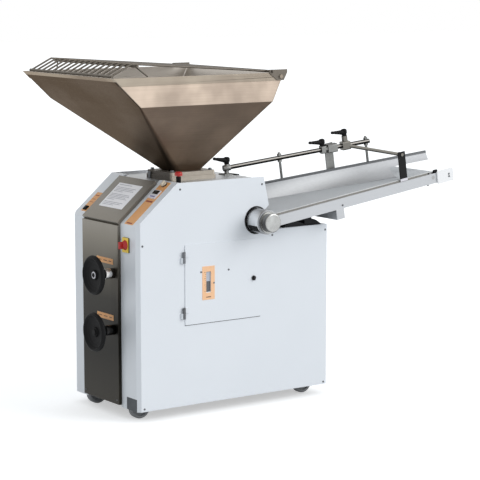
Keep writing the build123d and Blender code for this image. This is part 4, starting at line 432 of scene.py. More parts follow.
MOULD_GRAIN, WEAR_CURVE, HANDLED_GLOSS = 900.0, 2.0, 0.12
moulded_skin, given, told = effect("moulded_skin", [
    ("Color", "Color", tint(30, 30, 32)), ("Worn", "Color", tint(58, 58, 60)), ("Wear", "Float", 0.35),
    ("Roughness", "Float", 0.45), ("Grain", "Float", MOULD_GRAIN)])
fine = place(moulded_skin, "TexNoise", Detail=2.0)
moulded_skin.links.new(place(moulded_skin, "TexCoord").outputs["Object"], fine.inputs["Vector"])
moulded_skin.links.new(given["Grain"], fine.inputs["Scale"])
handled = speckle(moulded_skin, scale=16.0, detail=3.0)
rub = sum_up(moulded_skin, "MULTIPLY", sum_up(moulded_skin, "POWER", handled, WEAR_CURVE), given["Wear"])
dulled = sum_up(moulded_skin, "MULTIPLY", handled, HANDLED_GLOSS)
moulded_skin.links.new(blended(moulded_skin, rub, given["Color"], given["Worn"]), told["Color"])
moulded_skin.links.new(sum_up(moulded_skin, "ADD", given["Roughness"], dulled), told["Roughness"])
moulded_skin.links.new(fine.outputs["Fac"], told["Height"])


def moulding(name, colour, worn, wear, roughness, bump=0.05, grain=MOULD_GRAIN, **sockets):
    """Moulded, printed or painted skin: its colour, the colour it wears to, and how far."""
    values = {"Color": colour, "Worn": worn, "Wear": wear, "Roughness": roughness, "Grain": grain}
    return coat(name, moulded_skin, values, bump=bump, **sockets)


orange_foil = moulding("orange_foil", tint(234, 172, 110), tint(214, 146, 86), wear=0.6, roughness=0.42)
dark_print = moulding("dark_print", tint(92, 52, 34), tint(130, 80, 52), wear=0.5, roughness=0.5)
PANEL_FACE, FACING = -0.538, ((0, -1, 0), (0, 0, 1))
FOIL, PRINT = 0.0010, (0.0002, 0.00005)
LABELS = ((-0.0175, 0.7023), (-0.0182, 0.4490))
LABEL_MARKS = ((-0.044, 0.034), (0.004, 0.030), (0.046, 0.022))
wheel_plates = bmesh.new()
plate_marks = bmesh.new()
for y, z in LABELS:
    plate(wheel_plates, rounded(0.140, 0.0255, 0.002), (PANEL_FACE, y, z), *FACING, FOIL)
    for aside, width in LABEL_MARKS:
        plate(plate_marks, rounded(width, 0.0036, 0.001, steps=2), (PANEL_FACE - FOIL, y - aside, z), *FACING,
              *PRINT)
fit("wheel_plates", wheel_plates, orange_foil, "cabinet")
fit("plate_marks", plate_marks, dark_print, "cabinet", smooth=0)
FOOT_SCREW_SIDES, FOOT_SCREW_HEIGHT = (-0.112, 0.161), 0.080
foot_screws = bmesh.new()
for y in FOOT_SCREW_SIDES:
    socket_screw(foot_screws, (PANEL_FACE, y, FOOT_SCREW_HEIGHT), (-1, 0, 0), radius=0.0042, height=0.0022)
fit("foot_screws", foot_screws, screw_steel, "cabinet")

SLOPE = Vector((0.7628, 0, 0.6466))
SLOPE_OUT = Vector((-0.6466, 0, 0.7628))
SLOPE_FOOT = Vector((-0.522, 0, 0.877))
PANEL_RISE = 16.0


def on_slope(along, side, lift=0.0):
    """Point on the front slope: distance up the slope, Y, and height above it, in millimetres."""
    return SLOPE_FOOT + SLOPE * (along / 1000) + Vector((0, side / 1000, 0)) + SLOPE_OUT * (lift / 1000)


UPHILL = ((0, -1, 0), SLOPE)
card_white = moulding("card_white", tint(246, 245, 248), tint(230, 230, 236),
                      wear=0.6, roughness=0.3, bump=0.03, Coat_Weight=0.4, Coat_Roughness=0.15)
CARD_ALONG, CARD_SIDE, CARD_THICKNESS = 138, 23, 0.8
card = bmesh.new()
plate(card, rounded(0.196, 0.148, 0.002), on_slope(CARD_ALONG, CARD_SIDE, PANEL_RISE), *UPHILL,
      CARD_THICKNESS / 1000, edge=0.0002)
fit("instruction_card", card, card_white, "cabinet", smooth=0)
card_ink = moulding("card_ink", tint(160, 160, 168), tint(180, 180, 188), wear=0.5, roughness=0.5, bump=0.02)
RULE_LENGTH, RULE_TOP, RULE_PITCH = 172.0, 202.0, 8.2
RULE_SHARES = (0.62, 0.0, 0.92, 0.86, 0.9, 0.44, 0.0, 0.88, 0.93, 0.8, 0.9, 0.36, 0.0, 0.9, 0.82, 0.55)
rules = bmesh.new()
for row, share in enumerate(RULE_SHARES):
    if share:
        centre = on_slope(RULE_TOP - row * RULE_PITCH, CARD_SIDE + RULE_LENGTH / 2 * (1 - share),
                          PANEL_RISE + CARD_THICKNESS)
        plate(rules, rounded(RULE_LENGTH / 1000 * share, 0.0026, 0.0008, steps=2), centre, *UPHILL,
              thickness=0.0001, edge=0.00003)
fit("card_rules", rules, card_ink, "cabinet", smooth=0)


# Control strips: orange foil stuck to the slopes of both corner posts. The near one carries a counter
# with a dark window and three keys, two printed bars and the turning selector, all moulded; the far
# one carries three printed bars and a black rocker switch.
NEAR_STRIP, FAR_STRIP, STRIP_TOP = -189, 229, 1.0
COUNTER_SIDE, COUNTER_ALONG, WINDOW_ALONG, KEYS_ALONG, COUNTER_TOP = -188, 190, 200, 175, 7.0
KEY_OFFSETS = (-13, 0, 13)
STRIP_BARS = ((148, NEAR_STRIP, 0.050, 0.009), (12, NEAR_STRIP, 0.044, 0.007), (128, FAR_STRIP, 0.034, 0.005),
              (104, FAR_STRIP, 0.030, 0.003), (86, FAR_STRIP, 0.034, 0.003))
strips = bmesh.new()
plate(strips, rounded(0.068, 0.266, 0.004), on_slope(137, NEAR_STRIP), *UPHILL, FOIL)
plate(strips, rounded(0.046, 0.120, 0.004), on_slope(87.5, FAR_STRIP), *UPHILL, FOIL)
fit("control_strips", strips, orange_foil, "cabinet")
strip_bars = bmesh.new()
for along, side, width, tall in STRIP_BARS:
    plate(strip_bars, rounded(width, tall, 0.0012, steps=2), on_slope(along, side, STRIP_TOP), *UPHILL,
          *PRINT)
red_print = moulding("red_print", tint(150, 62, 36), tint(176, 90, 56), wear=0.5, roughness=0.4)
fit("strip_bars", strip_bars, red_print, "cabinet", smooth=0)
black_plastic = moulding("black_plastic", tint(13, 13, 14), tint(28, 28, 30),
                         wear=0.4, roughness=0.5, bump=0.12, Specular_IOR_Level=0.14)
pale_plastic = moulding("pale_plastic", tint(222, 220, 226), tint(190, 186, 200), wear=0.4, roughness=0.35)
window_dark = moulding("window_dark", tint(12, 12, 13), tint(24, 24, 26),
                       wear=0.3, roughness=0.12, bump=0.02, Coat_Weight=0.6, Coat_Roughness=0.05)
counter = bmesh.new()
plate(counter, rounded(0.052, 0.050, 0.003), on_slope(COUNTER_ALONG, COUNTER_SIDE, STRIP_TOP), *UPHILL,
      thickness=0.0060, edge=0.0008)
fit("counter_case", counter, pale_plastic, "cabinet")
counter_window = bmesh.new()
plate(counter_window, rounded(0.044, 0.022, 0.002), on_slope(WINDOW_ALONG, COUNTER_SIDE, COUNTER_TOP),
      *UPHILL, thickness=0.0008, edge=0.0002)
fit("counter_window", counter_window, window_dark, "cabinet")
counter_keys = bmesh.new()
for aside in KEY_OFFSETS:
    plate(counter_keys, rounded(0.009, 0.007, 0.002), on_slope(KEYS_ALONG, COUNTER_SIDE + aside, COUNTER_TOP),
          *UPHILL, thickness=0.0014, edge=0.0005)
key_blue = moulding("key_blue", tint(118, 108, 160), tint(150, 142, 186), wear=0.4, roughness=0.4)
fit("counter_keys", counter_keys, key_blue, "cabinet")
ROCKER_ALONG, ROCKER_TOP = 47, 5.0
rocker = bmesh.new()
plate(rocker, rounded(0.030, 0.024, 0.003), on_slope(ROCKER_ALONG, FAR_STRIP, STRIP_TOP), *UPHILL,
      thickness=0.0040, edge=0.0010)
plate(rocker, rounded(0.020, 0.016, 0.002), on_slope(ROCKER_ALONG, FAR_STRIP, ROCKER_TOP), *UPHILL,
      thickness=0.0030, edge=0.0014)
fit("rocker_switch", rocker, black_plastic, "cabinet")
selector_cream = coat("selector_cream", moulded_skin, {"Worn": tint(150, 142, 128), "Roughness": 0.4},
                      bump=0.06)


def level_along(tree, direction):
    """Distance of each point from the origin along one direction."""
    node = place(tree, "VectorMath", {"operation": "DOT_PRODUCT"})
    tree.links.new(place(tree, "TexCoord").outputs["Object"], node.inputs[0])
    node.inputs[1].default_value = direction
    return node.outputs["Value"]


COLLAR_RISE, SELECTOR_ALONG, SELECTOR_TOP = 0.007, 252, 20.3
tree, source = opened(selector_cream)
raised = sum_up(tree, "GREATER_THAN", level_along(tree, SLOPE_OUT), SLOPE_OUT.dot(SLOPE_FOOT) + COLLAR_RISE)
tree.links.new(blended(tree, raised, tint(22, 22, 23), tint(206, 196, 178)), source.inputs["Color"])
dress("selector_knob", selector_cream, WIDE_EDGE)
selector_mark = bmesh.new()
plate(selector_mark, rounded(0.0022, 0.018, 0.0008, steps=2),
      on_slope(SELECTOR_ALONG, NEAR_STRIP, SELECTOR_TOP), *UPHILL, thickness=0.0003, edge=0.0001)
fit("selector_mark", selector_mark, pale_plastic, "selector", smooth=0)


# Top cover and throat block: a stainless top sheet bent down behind the hopper, and a pale cast block
# in two layers held to it by four hexagon bolts. A small bent stay stands in front of the block.
top_steel = coat("top_steel", brushed_sheet,
                 {"Color": tint(205, 208, 210), "Dark": tint(150, 150, 150), "Grain": (4.0, 260.0, 260.0),
                  "Streaks": 0.4, "Roughness": 0.38}, metallic=0.9, bump=0.08)
dress("top_cover", top_steel, PLAIN_EDGE)
# The block's colour carries a painted shade on faces turned away from the near side.
block_alloy = coat("block_alloy", brushed_sheet,
                   {"Color": tint(180, 172, 160), "Dark": tint(62, 57, 52), "Grain": (60, 60, 60),
                    "Streaks": 0.3, "Roughness": 0.45, "Facing": (0.35, -0.9, 0.3), "Facing Depth": 0.95},
                   metallic=0.6, bump=0.15)
BROAD_EDGE = 0.0015
dress("hopper_base", block_alloy, BROAD_EDGE)
dress("throat_bolts", screw_steel, PLAIN_EDGE)
STAY_SIDE, STAY_SHEET = 0.0695, (0.0020, 0.0005)
stay = bmesh.new()
plate(stay, rounded(0.021, 0.030, 0.003), (-0.245, STAY_SIDE, 1.061), *FACING, *STAY_SHEET)
plate(stay, rounded(0.021, 0.018, 0.003), (-0.237, STAY_SIDE, 1.0430), (0, -1, 0), (1, 0, 0), *STAY_SHEET)
fit("cover_stay", stay, screw_steel, "cabinet")


# Hopper and lid: folded stainless sheet welded at the corners, brushed along its length. Its colour carries
# painted reflection and shade: a bright upright band, a plain collar, a darker lower funnel, a dark front and
# shaded sides, with noise blotches over them and an inside painted paler. The lid is round bar, welded.
hopper_steel = coat("hopper_steel", brushed_sheet,
                    {"Dark": tint(66, 53, 43), "Grain": (2.5, 190.0, 190.0), "Streaks": 0.3,
                     "Roughness": 0.34, "Facing": (0.25, -0.9, 0.3)},
                    metallic=1.0, bump=0.10, Specular_Tint=tint(226, 214, 202))
HOPPER_FOOT, HOPPER_TOP, RIM_LEVEL = 1.081, 1.531, 1.5160
HOPPER_MIDDLE, FRONT_HALF = -0.14, -0.1
INWARD, SIDE_SHADE = -0.03, 0.75
BAND_REFLECTION_TONE, COLLAR_TONE = tint(206, 189, 173), tint(168, 158, 144)
HOPPER_PAINTED_BANDS = ((1.4035, tint(138, 121, 107)), (1.4045, BAND_REFLECTION_TONE), (1.4955, BAND_REFLECTION_TONE),
                 (1.4965, COLLAR_TONE))


def ranged(tree, value, low, high, top=1.0, smooth=False):
    """Value moved from the span low to high onto 0 to top."""
    kind = {"interpolation_type": "SMOOTHSTEP" if smooth else "LINEAR"}
    node = place(tree, "MapRange", kind, From_Min=low, From_Max=high, To_Max=top)
    tree.links.new(value, node.inputs["Value"])
    return node.outputs[0]


tree, source = opened(hopper_steel)
spot, facing = split(tree, "Object"), split(tree, "Normal")
# Painted reflection and shade by height: a bright upright band, a collar, and a lower funnel that darkens
# from its foot up to the band.
level = ranged(tree, spot["Z"], HOPPER_FOOT, HOPPER_TOP)
painted_bands = shades(tree, level, tint(206, 184, 164), COLLAR_TONE,
               [((z - HOPPER_FOOT) / (HOPPER_TOP - HOPPER_FOOT), colour) for z, colour in HOPPER_PAINTED_BANDS])
# Painted shade: forward-facing faces of the front half below the rim go dark, and outer sides below the rim
# take painted shade on faces turned from the near side.
forward = ranged(tree, facing["X"], low=-0.25, high=-0.45, smooth=True)
below_rim = sum_up(tree, "LESS_THAN", spot["Z"], RIM_LEVEL)
front_half = sum_up(tree, "LESS_THAN", spot["X"], FRONT_HALF)
shaded = sum_up(tree, "MULTIPLY", forward, sum_up(tree, "MULTIPLY", below_rim, front_half))
across = sum_up(tree, "MULTIPLY", facing["Y"], spot["Y"])
endways = sum_up(tree, "MULTIPLY", facing["X"], sum_up(tree, "SUBTRACT", spot["X"], HOPPER_MIDDLE))
inside = sum_up(tree, "LESS_THAN", sum_up(tree, "ADD", across, endways), INWARD)
outside = sum_up(tree, "MULTIPLY", below_rim, sum_up(tree, "SUBTRACT", 1.0, inside))
tree.links.new(sum_up(tree, "MULTIPLY", outside, SIDE_SHADE), source.inputs["Facing Depth"])
steel = blended(tree, shaded, painted_bands, tint(62, 59, 55))
# Noise blotches over the sheet, lighter where the front is painted dark.
blotch = ranged(tree, speckle(tree, scale=4.2, detail=3.0), low=0.40, high=0.62, top=0.5)
marks = blended(tree, shaded, tint(118, 106, 96), tint(150, 144, 138))
blotched = blended(tree, blotch, steel, marks)
# Inside faces get a pale painted light against their shade.
tree.links.new(blended(tree, inside, blotched, tint(208, 203, 196)), source.inputs["Color"])
dress("hopper", hopper_steel, PLAIN_EDGE)
bar_steel = coat("bar_steel", brushed_sheet,
                 {"Color": tint(116, 110, 102), "Dark": tint(68, 63, 57), "Grain": (60, 60, 60),
                  "Roughness": 0.42}, metallic=1.0, bump=0.06)
dress("lid_grille", bar_steel)


# Handwheels: dished black moulded wheels on bushes bolted to the front, the upper one chromed with a painted
# shade where it nears the panel, and the lower one coloured black. The upper hub shows a pale ring around a
# dished boss, the lower one a plain cap.
bush_chrome = coat("bush_chrome", brushed_sheet,
                   {"Dark": tint(90, 88, 86), "Grain": (40, 40, 40), "Streaks": 0.3, "Roughness": 0.14},
                   metallic=1.0, bump=0.02)
FLANGE_FACE, BETWEEN_BUSHES = -0.556, 0.52
tree, source = opened(bush_chrome)
spot = split(tree, "Object")
# Painted shade: the chrome goes dark grey where the bush nears the panel.
panel_shade = sum_up(tree, "GREATER_THAN", spot["X"], FLANGE_FACE)
# The bush below the middle height is coloured black.
lower_black = sum_up(tree, "LESS_THAN", spot["Z"], BETWEEN_BUSHES)
chrome_and_shade = blended(tree, panel_shade, tint(232, 230, 228), tint(92, 88, 84))
tree.links.new(blended(tree, lower_black, chrome_and_shade, tint(24, 24, 25)), source.inputs["Color"])
SOFT_EDGE = 0.0010
dress("handwheel_bushes", bush_chrome, SOFT_EDGE)
dress("weight_handwheel speed_handwheel", black_plastic)
WHEEL_REACH, WHEEL_SIDE = 0.099, -0.087
WHEEL_FACE = PANEL_FACE - WHEEL_REACH
UPPER_HUB, LOWER_HUB = (WHEEL_FACE, WHEEL_SIDE, 0.652), (WHEEL_FACE, WHEEL_SIDE, 0.397)
HUB_RING = ((0, 0.0105), (0.0016, 0.0105), (0.0022, 0.0118), (0.0022, 0.0150), (0.0012, 0.0160), (0, 0.0160))
HUB_BOSS = ((0, 0), (0, 0.0100), (0.0030, 0.0100), (0.0042, 0.0088), (0.0042, 0.0060), (0.0030, 0.0050),
            (0.0030, 0))
LOWER_BOSS = ((0, 0), (0, 0.0150), (0.0030, 0.0146), (0.0050, 0.0120), (0.0058, 0))
boss_ring = bmesh.new()
lathe(boss_ring, HUB_RING, UPPER_HUB, (-1, 0, 0))
fit("hub_ring", boss_ring, pale_plastic, "weight_wheel")
boss = bmesh.new()
lathe(boss, HUB_BOSS, UPPER_HUB, (-1, 0, 0))
fit("hub_boss", boss, black_plastic, "weight_wheel")
lower_boss = bmesh.new()
lathe(lower_boss, LOWER_BOSS, LOWER_HUB, (-1, 0, 0))
fit("lower_hub_cap", lower_boss, black_plastic, "speed_wheel")


# Main switch on the near post: a flat black moulded box with a yellow face, screwed on from behind.
# The red turning grip is a coned moulding with a thin handle across it.
switch_two_tone = coat("switch_two_tone", moulded_skin, {"Worn": tint(200, 165, 40), "Roughness": 0.35},
                       bump=0.05)
YELLOW_FROM = -0.5286
tree, source = opened(switch_two_tone)
front = sum_up(tree, "LESS_THAN", split(tree, "Object")["X"], YELLOW_FROM)
tree.links.new(blended(tree, front, tint(30, 28, 26), tint(244, 210, 66)), source.inputs["Color"])
dress("main_switch_base", switch_two_tone, PLAIN_EDGE)
red_plastic = moulding("red_plastic", tint(186, 32, 28), tint(140, 22, 20),
                       wear=0.5, roughness=0.3, bump=0.06)
dress("main_switch_knob", red_plastic, BROAD_EDGE)


# Emergency stop on the top sheet: a glossy red mushroom moulding that presses down on a spring.
# Its black collar is clamped through the sheet.
dress("stop_button", red_plastic)
dress("stop_base", black_plastic, SOFT_EDGE)


# Inspection door: white enamelled leaf on two dark lift-off hinges with a quarter-turn lock; faces of the
# leaf that look down are painted in shade. A peach scale plate frames the slot, where a pale and a dark strip
# ride on the weight pointer, the dark one a painted shade in the slot; a thin black strip under the leaf
# paints the shadow line below it.
DOOR_FACE, HINGE_EDGE, LOOKING_DOWN = -0.2683, -0.2742, -0.3
door_enamel = coat("door_enamel", enamel_skin, {}, bump=0.05, **ENAMEL_GLOSS)
tree, source = opened(door_enamel)
knuckle = sum_up(tree, "LESS_THAN", split(tree, "Object")["X"], HINGE_EDGE)
# Painted shade: faces of the leaf looking down are coloured near-black.
underside_shade = sum_up(tree, "LESS_THAN", split(tree, "Normal")["Z"], LOOKING_DOWN)
leaf = blended(tree, underside_shade, tint(228, 232, 237), tint(44, 46, 52))
tree.links.new(blended(tree, knuckle, leaf, tint(46, 46, 48)), source.inputs["Color"])
dress("door", door_enamel, PLAIN_EDGE)
dark_steel = coat("dark_steel", brushed_sheet,
                  {"Color": tint(58, 58, 60), "Dark": tint(30, 30, 32), "Grain": (80, 80, 80),
                   "Roughness": 0.45}, metallic=0.7)
FINE_EDGE = 0.0006
dress("door_lock", dark_steel, FINE_EDGE)
HINGE_BARREL = -0.2888
hinge_skin = coat("hinge_skin", enamel_skin, {"Dust": 0.5}, bump=0.08)
tree, source = opened(hinge_skin)
wing = sum_up(tree, "LESS_THAN", split(tree, "Object")["X"], HINGE_BARREL)
tree.links.new(blended(tree, wing, tint(46, 46, 48), tint(226, 230, 235)), source.inputs["Color"])
dress("door_hinges", hinge_skin, FINE_EDGE)
dress("weight_pointer", dark_steel, FINE_EDGE)
column_white = coat("column_white", enamel_skin,
                    {"Color": tint(238, 242, 248), "Shade": tint(206, 212, 222), "Dust": 0.5}, bump=0.05)
dress("pointer_guide", column_white)
NEAR = ((1, 0, 0), (0, 0, 1))
SLOT_X, BEHIND_SLOT, SHUTTER_LEVEL, SHADE_BAND_LEVEL = -0.1495, -0.2640, 0.6425, 0.5590
STRIP_SHEET = (0.0008, 0.0002)
SCALE_BARS = ((-0.1725, 0.596, 0.021, 0.152), (-0.1265, 0.596, 0.021, 0.152), (SLOT_X, 0.6595, 0.025, 0.025),
              (SLOT_X, 0.5360, 0.025, 0.032))
scale_plate = bmesh.new()
for x, z, width, tall in SCALE_BARS:
    bar = [(-width / 2, -tall / 2), (width / 2, -tall / 2), (width / 2, tall / 2), (-width / 2, tall / 2)]
    plate(scale_plate, bar, (x, DOOR_FACE, z), *NEAR, FOIL, edge=0.0002)
peach_foil = moulding("peach_foil", tint(246, 198, 156), tint(232, 176, 128), wear=0.5, roughness=0.42)
fit("scale_plate", scale_plate, peach_foil, "door_leaf", smooth=0)
shutter_grey = moulding("shutter_grey", tint(188, 193, 203), tint(150, 154, 164), wear=0.6, roughness=0.4)
shutter = bmesh.new()
plate(shutter, rounded(0.024, 0.079, 0.002), (SLOT_X, BEHIND_SLOT, SHUTTER_LEVEL), *NEAR, *STRIP_SHEET)
fit("pointer_shutter", shutter, shutter_grey, "pointer", smooth=0)
# A dark grey strip under the pale one stands in as painted shade in the slot.
slot_shade_grey = moulding("slot_shade_grey", tint(88, 89, 93), tint(112, 113, 118), wear=0.5, roughness=0.5)
pointer_shade_band = bmesh.new()
plate(pointer_shade_band, rounded(0.024, 0.087, 0.002), (SLOT_X, BEHIND_SLOT, SHADE_BAND_LEVEL), *NEAR, *STRIP_SHEET)
fit("pointer_shade_band", pointer_shade_band, slot_shade_grey, "pointer", smooth=0)
TICK_X, TICK_FOOT, TICK_PITCH, TICK_COUNT = -0.1665, 0.5600, 0.0094, 10
SHORT_TICK, LONG_TICK, LONG_EVERY = 0.005, 0.009, 3
PLATE_FACE, UNDERLINE_LEVEL = DOOR_FACE - FOIL, 0.532
ticks = bmesh.new()
for index in range(TICK_COUNT):
    length = SHORT_TICK if index % LONG_EVERY else LONG_TICK
    plate(ticks, rounded(length, 0.0012, 0.0004, steps=2),
          (TICK_X - (length - SHORT_TICK) / 2, PLATE_FACE, TICK_FOOT + index * TICK_PITCH), *NEAR, *PRINT)
plate(ticks, rounded(0.026, 0.004, 0.001, steps=2), (SLOT_X, PLATE_FACE, UNDERLINE_LEVEL), *NEAR, *PRINT)
fit("scale_ticks", ticks, dark_print, "door_leaf", smooth=0)
LEAF_SCREWS, PLATE_SCREW = ((-0.189, 0.648), (-0.039, 0.646)), (-0.120, PLATE_FACE, 0.594)
door_screws = bmesh.new()
for x, z in LEAF_SCREWS:
    socket_screw(door_screws, (x, DOOR_FACE, z), (0, -1, 0), radius=0.0046, height=0.0024)
socket_screw(door_screws, PLATE_SCREW, (0, -1, 0), radius=0.0040, height=0.0022)
fit("door_screws", door_screws, screw_steel, "door_leaf")
# A thin black strip under the leaf paints the shadow line below its lower edge.
SHADOW_STRIP_SEAT = (-0.068, NEAR_FACE, 0.4136)
door_shadow_strip = bmesh.new()
plate(door_shadow_strip, rounded(0.412, 0.0022, 0.0006, steps=2), SHADOW_STRIP_SEAT, *NEAR, thickness=0.0014, edge=0.0003)
fit("door_shadow_strip", door_shadow_strip, black_plastic, "cabinet", smooth=0)


# Conveyor: pale sheet rails either side of a woven food belt on two rollers. A polished shroud and a
# chromed cap close the drive drum's near end; a black edging lines the cut-out in the side panel.
rail_alloy = coat("rail_alloy", brushed_sheet,
                  {"Color": tint(190, 192, 195), "Dark": tint(156, 158, 161), "Grain": (3.0, 200.0, 200.0),
                   "Streaks": 0.4, "Roughness": 0.4}, metallic=0.55, bump=0.08)
dress("conveyor_rails cross_member", rail_alloy, PLAIN_EDGE)
end_white = coat("end_white", enamel_skin, {"Color": tint(244, 244, 245), "Shade": tint(232, 233, 235)},
                 bump=0.04)
dress("end_plates", end_white, PLAIN_EDGE)
BELT_GREY, BELT_EDGE = tint(190, 193, 196), -0.3465
CLEAN_DULL, FLOUR_DULL = 0.6, 0.2
belt_weave, given, told = effect("belt_weave", [
    ("Color", "Color", BELT_GREY), ("Dark", "Color", tint(164, 167, 170)), ("Pitch", "Float", 330.0)])
where = place(belt_weave, "TexCoord")
waves = []
for direction in ("X", "Y"):
    wave = place(belt_weave, "TexWave", {"bands_direction": direction}, Distortion=0.4, Detail=1.0)
    belt_weave.links.new(where.outputs["Object"], wave.inputs["Vector"])
    belt_weave.links.new(given["Pitch"], wave.inputs["Scale"])
    waves.append(wave.outputs["Fac"])
threads = sum_up(belt_weave, "MULTIPLY", *waves)
flour = speckle(belt_weave, scale=7.0, detail=3.0)
worn = sum_up(belt_weave, "MULTIPLY", sum_up(belt_weave, "ADD", threads, flour), 0.5)
belt_weave.links.new(blended(belt_weave, worn, given["Color"], given["Dark"]), told["Color"])
dull = sum_up(belt_weave, "ADD", sum_up(belt_weave, "MULTIPLY", flour, FLOUR_DULL), CLEAN_DULL)
belt_weave.links.new(dull, told["Roughness"])
belt_weave.links.new(threads, told["Height"])
belt_cloth = coat("belt_cloth", belt_weave, {}, bump=0.25)
tree, source = opened(belt_cloth)
# The belt's near edge is coloured near-white: a pale cut edge with a painted highlight.
edge = sum_up(tree, "LESS_THAN", split(tree, "Object")["Y"], BELT_EDGE)
tree.links.new(blended(tree, edge, BELT_GREY, tint(250, 250, 248)), source.inputs["Color"])
dress("conveyor_belt", belt_cloth)
bed_steel = coat("bed_steel", brushed_sheet,
                 {"Color": tint(142, 140, 136), "Dark": tint(96, 94, 91), "Grain": (3.0, 200.0, 200.0),
                  "Roughness": 0.5}, metallic=0.8, bump=0.08)
dress("belt_bed", bed_steel)
turned_steel = coat("turned_steel", brushed_sheet,
                    {"Color": tint(172, 172, 172), "Dark": tint(110, 110, 110), "Grain": (120, 120, 120),
                     "Roughness": 0.32}, metallic=1.0, bump=0.08)
dress("drive_drum end_roller", turned_steel)
# Painted reflection on the cap: coarse dark streaks as blotches, and painted shade on faces turned from its
# lit side.
cap_chrome = coat("cap_chrome", brushed_sheet,
                  {"Color": tint(232, 233, 231), "Dark": tint(70, 68, 67), "Grain": (26.0, 9.0, 20.0),
                   "Streaks": 0.95, "Roughness": 0.16, "Facing": (-0.20, -0.86, 0.47), "Facing Depth": 0.9,
                   "Facing Edge": 0.25}, metallic=1.0, bump=0.02)
dress("drum_cap", cap_chrome, SOFT_EDGE)
# Painted reflection and shade on the shroud: bright where it faces forward, dark where it turns away.
shroud_steel = coat("shroud_steel", brushed_sheet,
                    {"Color": tint(242, 243, 244), "Dark": tint(126, 125, 125), "Grain": (5.0, 5.0, 160.0),
                     "Streaks": 0.3, "Roughness": 0.25, "Facing": (-0.99, 0.0, 0.12), "Facing Depth": 0.85,
                     "Facing Edge": 0.45}, metallic=1.0, bump=0.06)
dress("drum_shroud", shroud_steel, FINE_EDGE)
black_paint = moulding("black_paint", tint(24, 25, 27), tint(44, 45, 48),
                       wear=0.5, roughness=0.5, bump=0.1, Specular_IOR_Level=0.2)
dress("conveyor_rest", black_paint, SOFT_EDGE)
machine_grey = coat("machine_grey", enamel_skin,
                    {"Color": tint(84, 92, 98), "Shade": tint(60, 66, 70), "Dust": 0.6, "Roughness": 0.45},
                    bump=0.12)
dress("conveyor_motor gear_motor pedestal chassis_plate", machine_grey, SOFT_EDGE)
DRUM = Vector((0.115, 0, 0.859))
black_rubber = moulding("black_rubber", tint(16, 16, 17), tint(34, 34, 36),
                        wear=0.4, roughness=0.62, bump=0.2, Specular_IOR_Level=0.2)


def wire(shape, path, radius, sides=10):
    """Round section along a list of points, closed at both ends."""
    rings = []
    for index, point in enumerate(path):
        ahead = path[min(index + 1, len(path) - 1)] - path[max(index - 1, 0)]
        first, second = axes_of(ahead)[:2]
        rings.append(circle(shape, point, first, second, radius, sides))
    close_up(shape, rings)


def drum_arc(radius, side, start, end, step=4):
    """Points around the drum's axis at one Y, between two angles in degrees."""
    angles = [radians(a) for a in range(start, end, step)]
    return [DRUM + Vector((radius * cos(a), side, radius * sin(a))) for a in angles]


CUT_RADIUS, EDGING_RADIUS = 0.0605, 0.0036
edging = bmesh.new()
wire(edging, drum_arc(CUT_RADIUS, side=-0.2645, start=44, end=307), EDGING_RADIUS)
fit("cutout_edging", edging, black_rubber, "cabinet", smooth=60)
TILT = radians(8.2)
ALONG = Vector((cos(TILT), 0, sin(TILT)))
LIFT = Vector((-sin(TILT), 0, cos(TILT)))


def on_rail(along, level, side):
    """Point beside the conveyor: distance from the drum, height over its axis and Y, in millimetres."""
    return DRUM + ALONG * (along / 1000) + LIFT * (level / 1000) + Vector((0, side / 1000, 0))


BELT_MIDDLE = -150
RAIL_SCREWS, UNDER_SCREW = ((427, -14, 210), (1080, 0, 216), (1080, -12, 216)), (950, -29, -357)
rail_screws = bmesh.new()
for hand in (-1, 1):
    for along, level, out in RAIL_SCREWS:
        socket_screw(rail_screws, on_rail(along, level, BELT_MIDDLE + hand * out), (0, hand, 0),
                     radius=0.0050, height=0.0026)
socket_screw(rail_screws, on_rail(*UNDER_SCREW), -LIFT, radius=0.0050, height=0.0050)
fit("rail_screws", rail_screws, screw_steel, "cabinet")
BLOCK_ALONG, BLOCK_LEVEL, BLOCK_OUT = 1005, 26.5, 201
tension_blocks = bmesh.new()
for hand in (-1, 1):
    seat = on_rail(BLOCK_ALONG, BLOCK_LEVEL, BELT_MIDDLE + hand * BLOCK_OUT)
    plate(tension_blocks, rounded(0.024, 0.0155, 0.003), seat, -hand * ALONG, LIFT,
          thickness=0.009, edge=0.002)
fit("tension_blocks", tension_blocks, black_plastic, "cabinet")


def bent_strip(shape, path, across, width, thickness):
    """Flat strip of sheet along a list of points, closed at both ends."""
    across = Vector(across).normalized()
    rings = []
    for index, point in enumerate(path):
        ahead = (path[min(index + 1, len(path) - 1)] - path[max(index - 1, 0)]).normalized()
        out = across.cross(ahead)
        rings.append([shape.verts.new(point + across * (side * width / 2) + out * (level * thickness))
                      for side, level in ((-1, 0), (1, 0), (1, 1), (-1, 1))])
    close_up(shape, rings)


# A black strip on the shroud paints the shaded inside of its window.
SHROUD_RADIUS, WINDOW_WIDTH, WINDOW_SHEET = 0.056, 0.068, 0.0006
shroud_window_shade = bmesh.new()
bent_strip(shroud_window_shade, drum_arc(SHROUD_RADIUS, side=-0.3150, start=197, end=230), (0, 1, 0),
           WINDOW_WIDTH, WINDOW_SHEET)
fit("shroud_window_shade", shroud_window_shade, black_rubber, "cabinet", smooth=40)


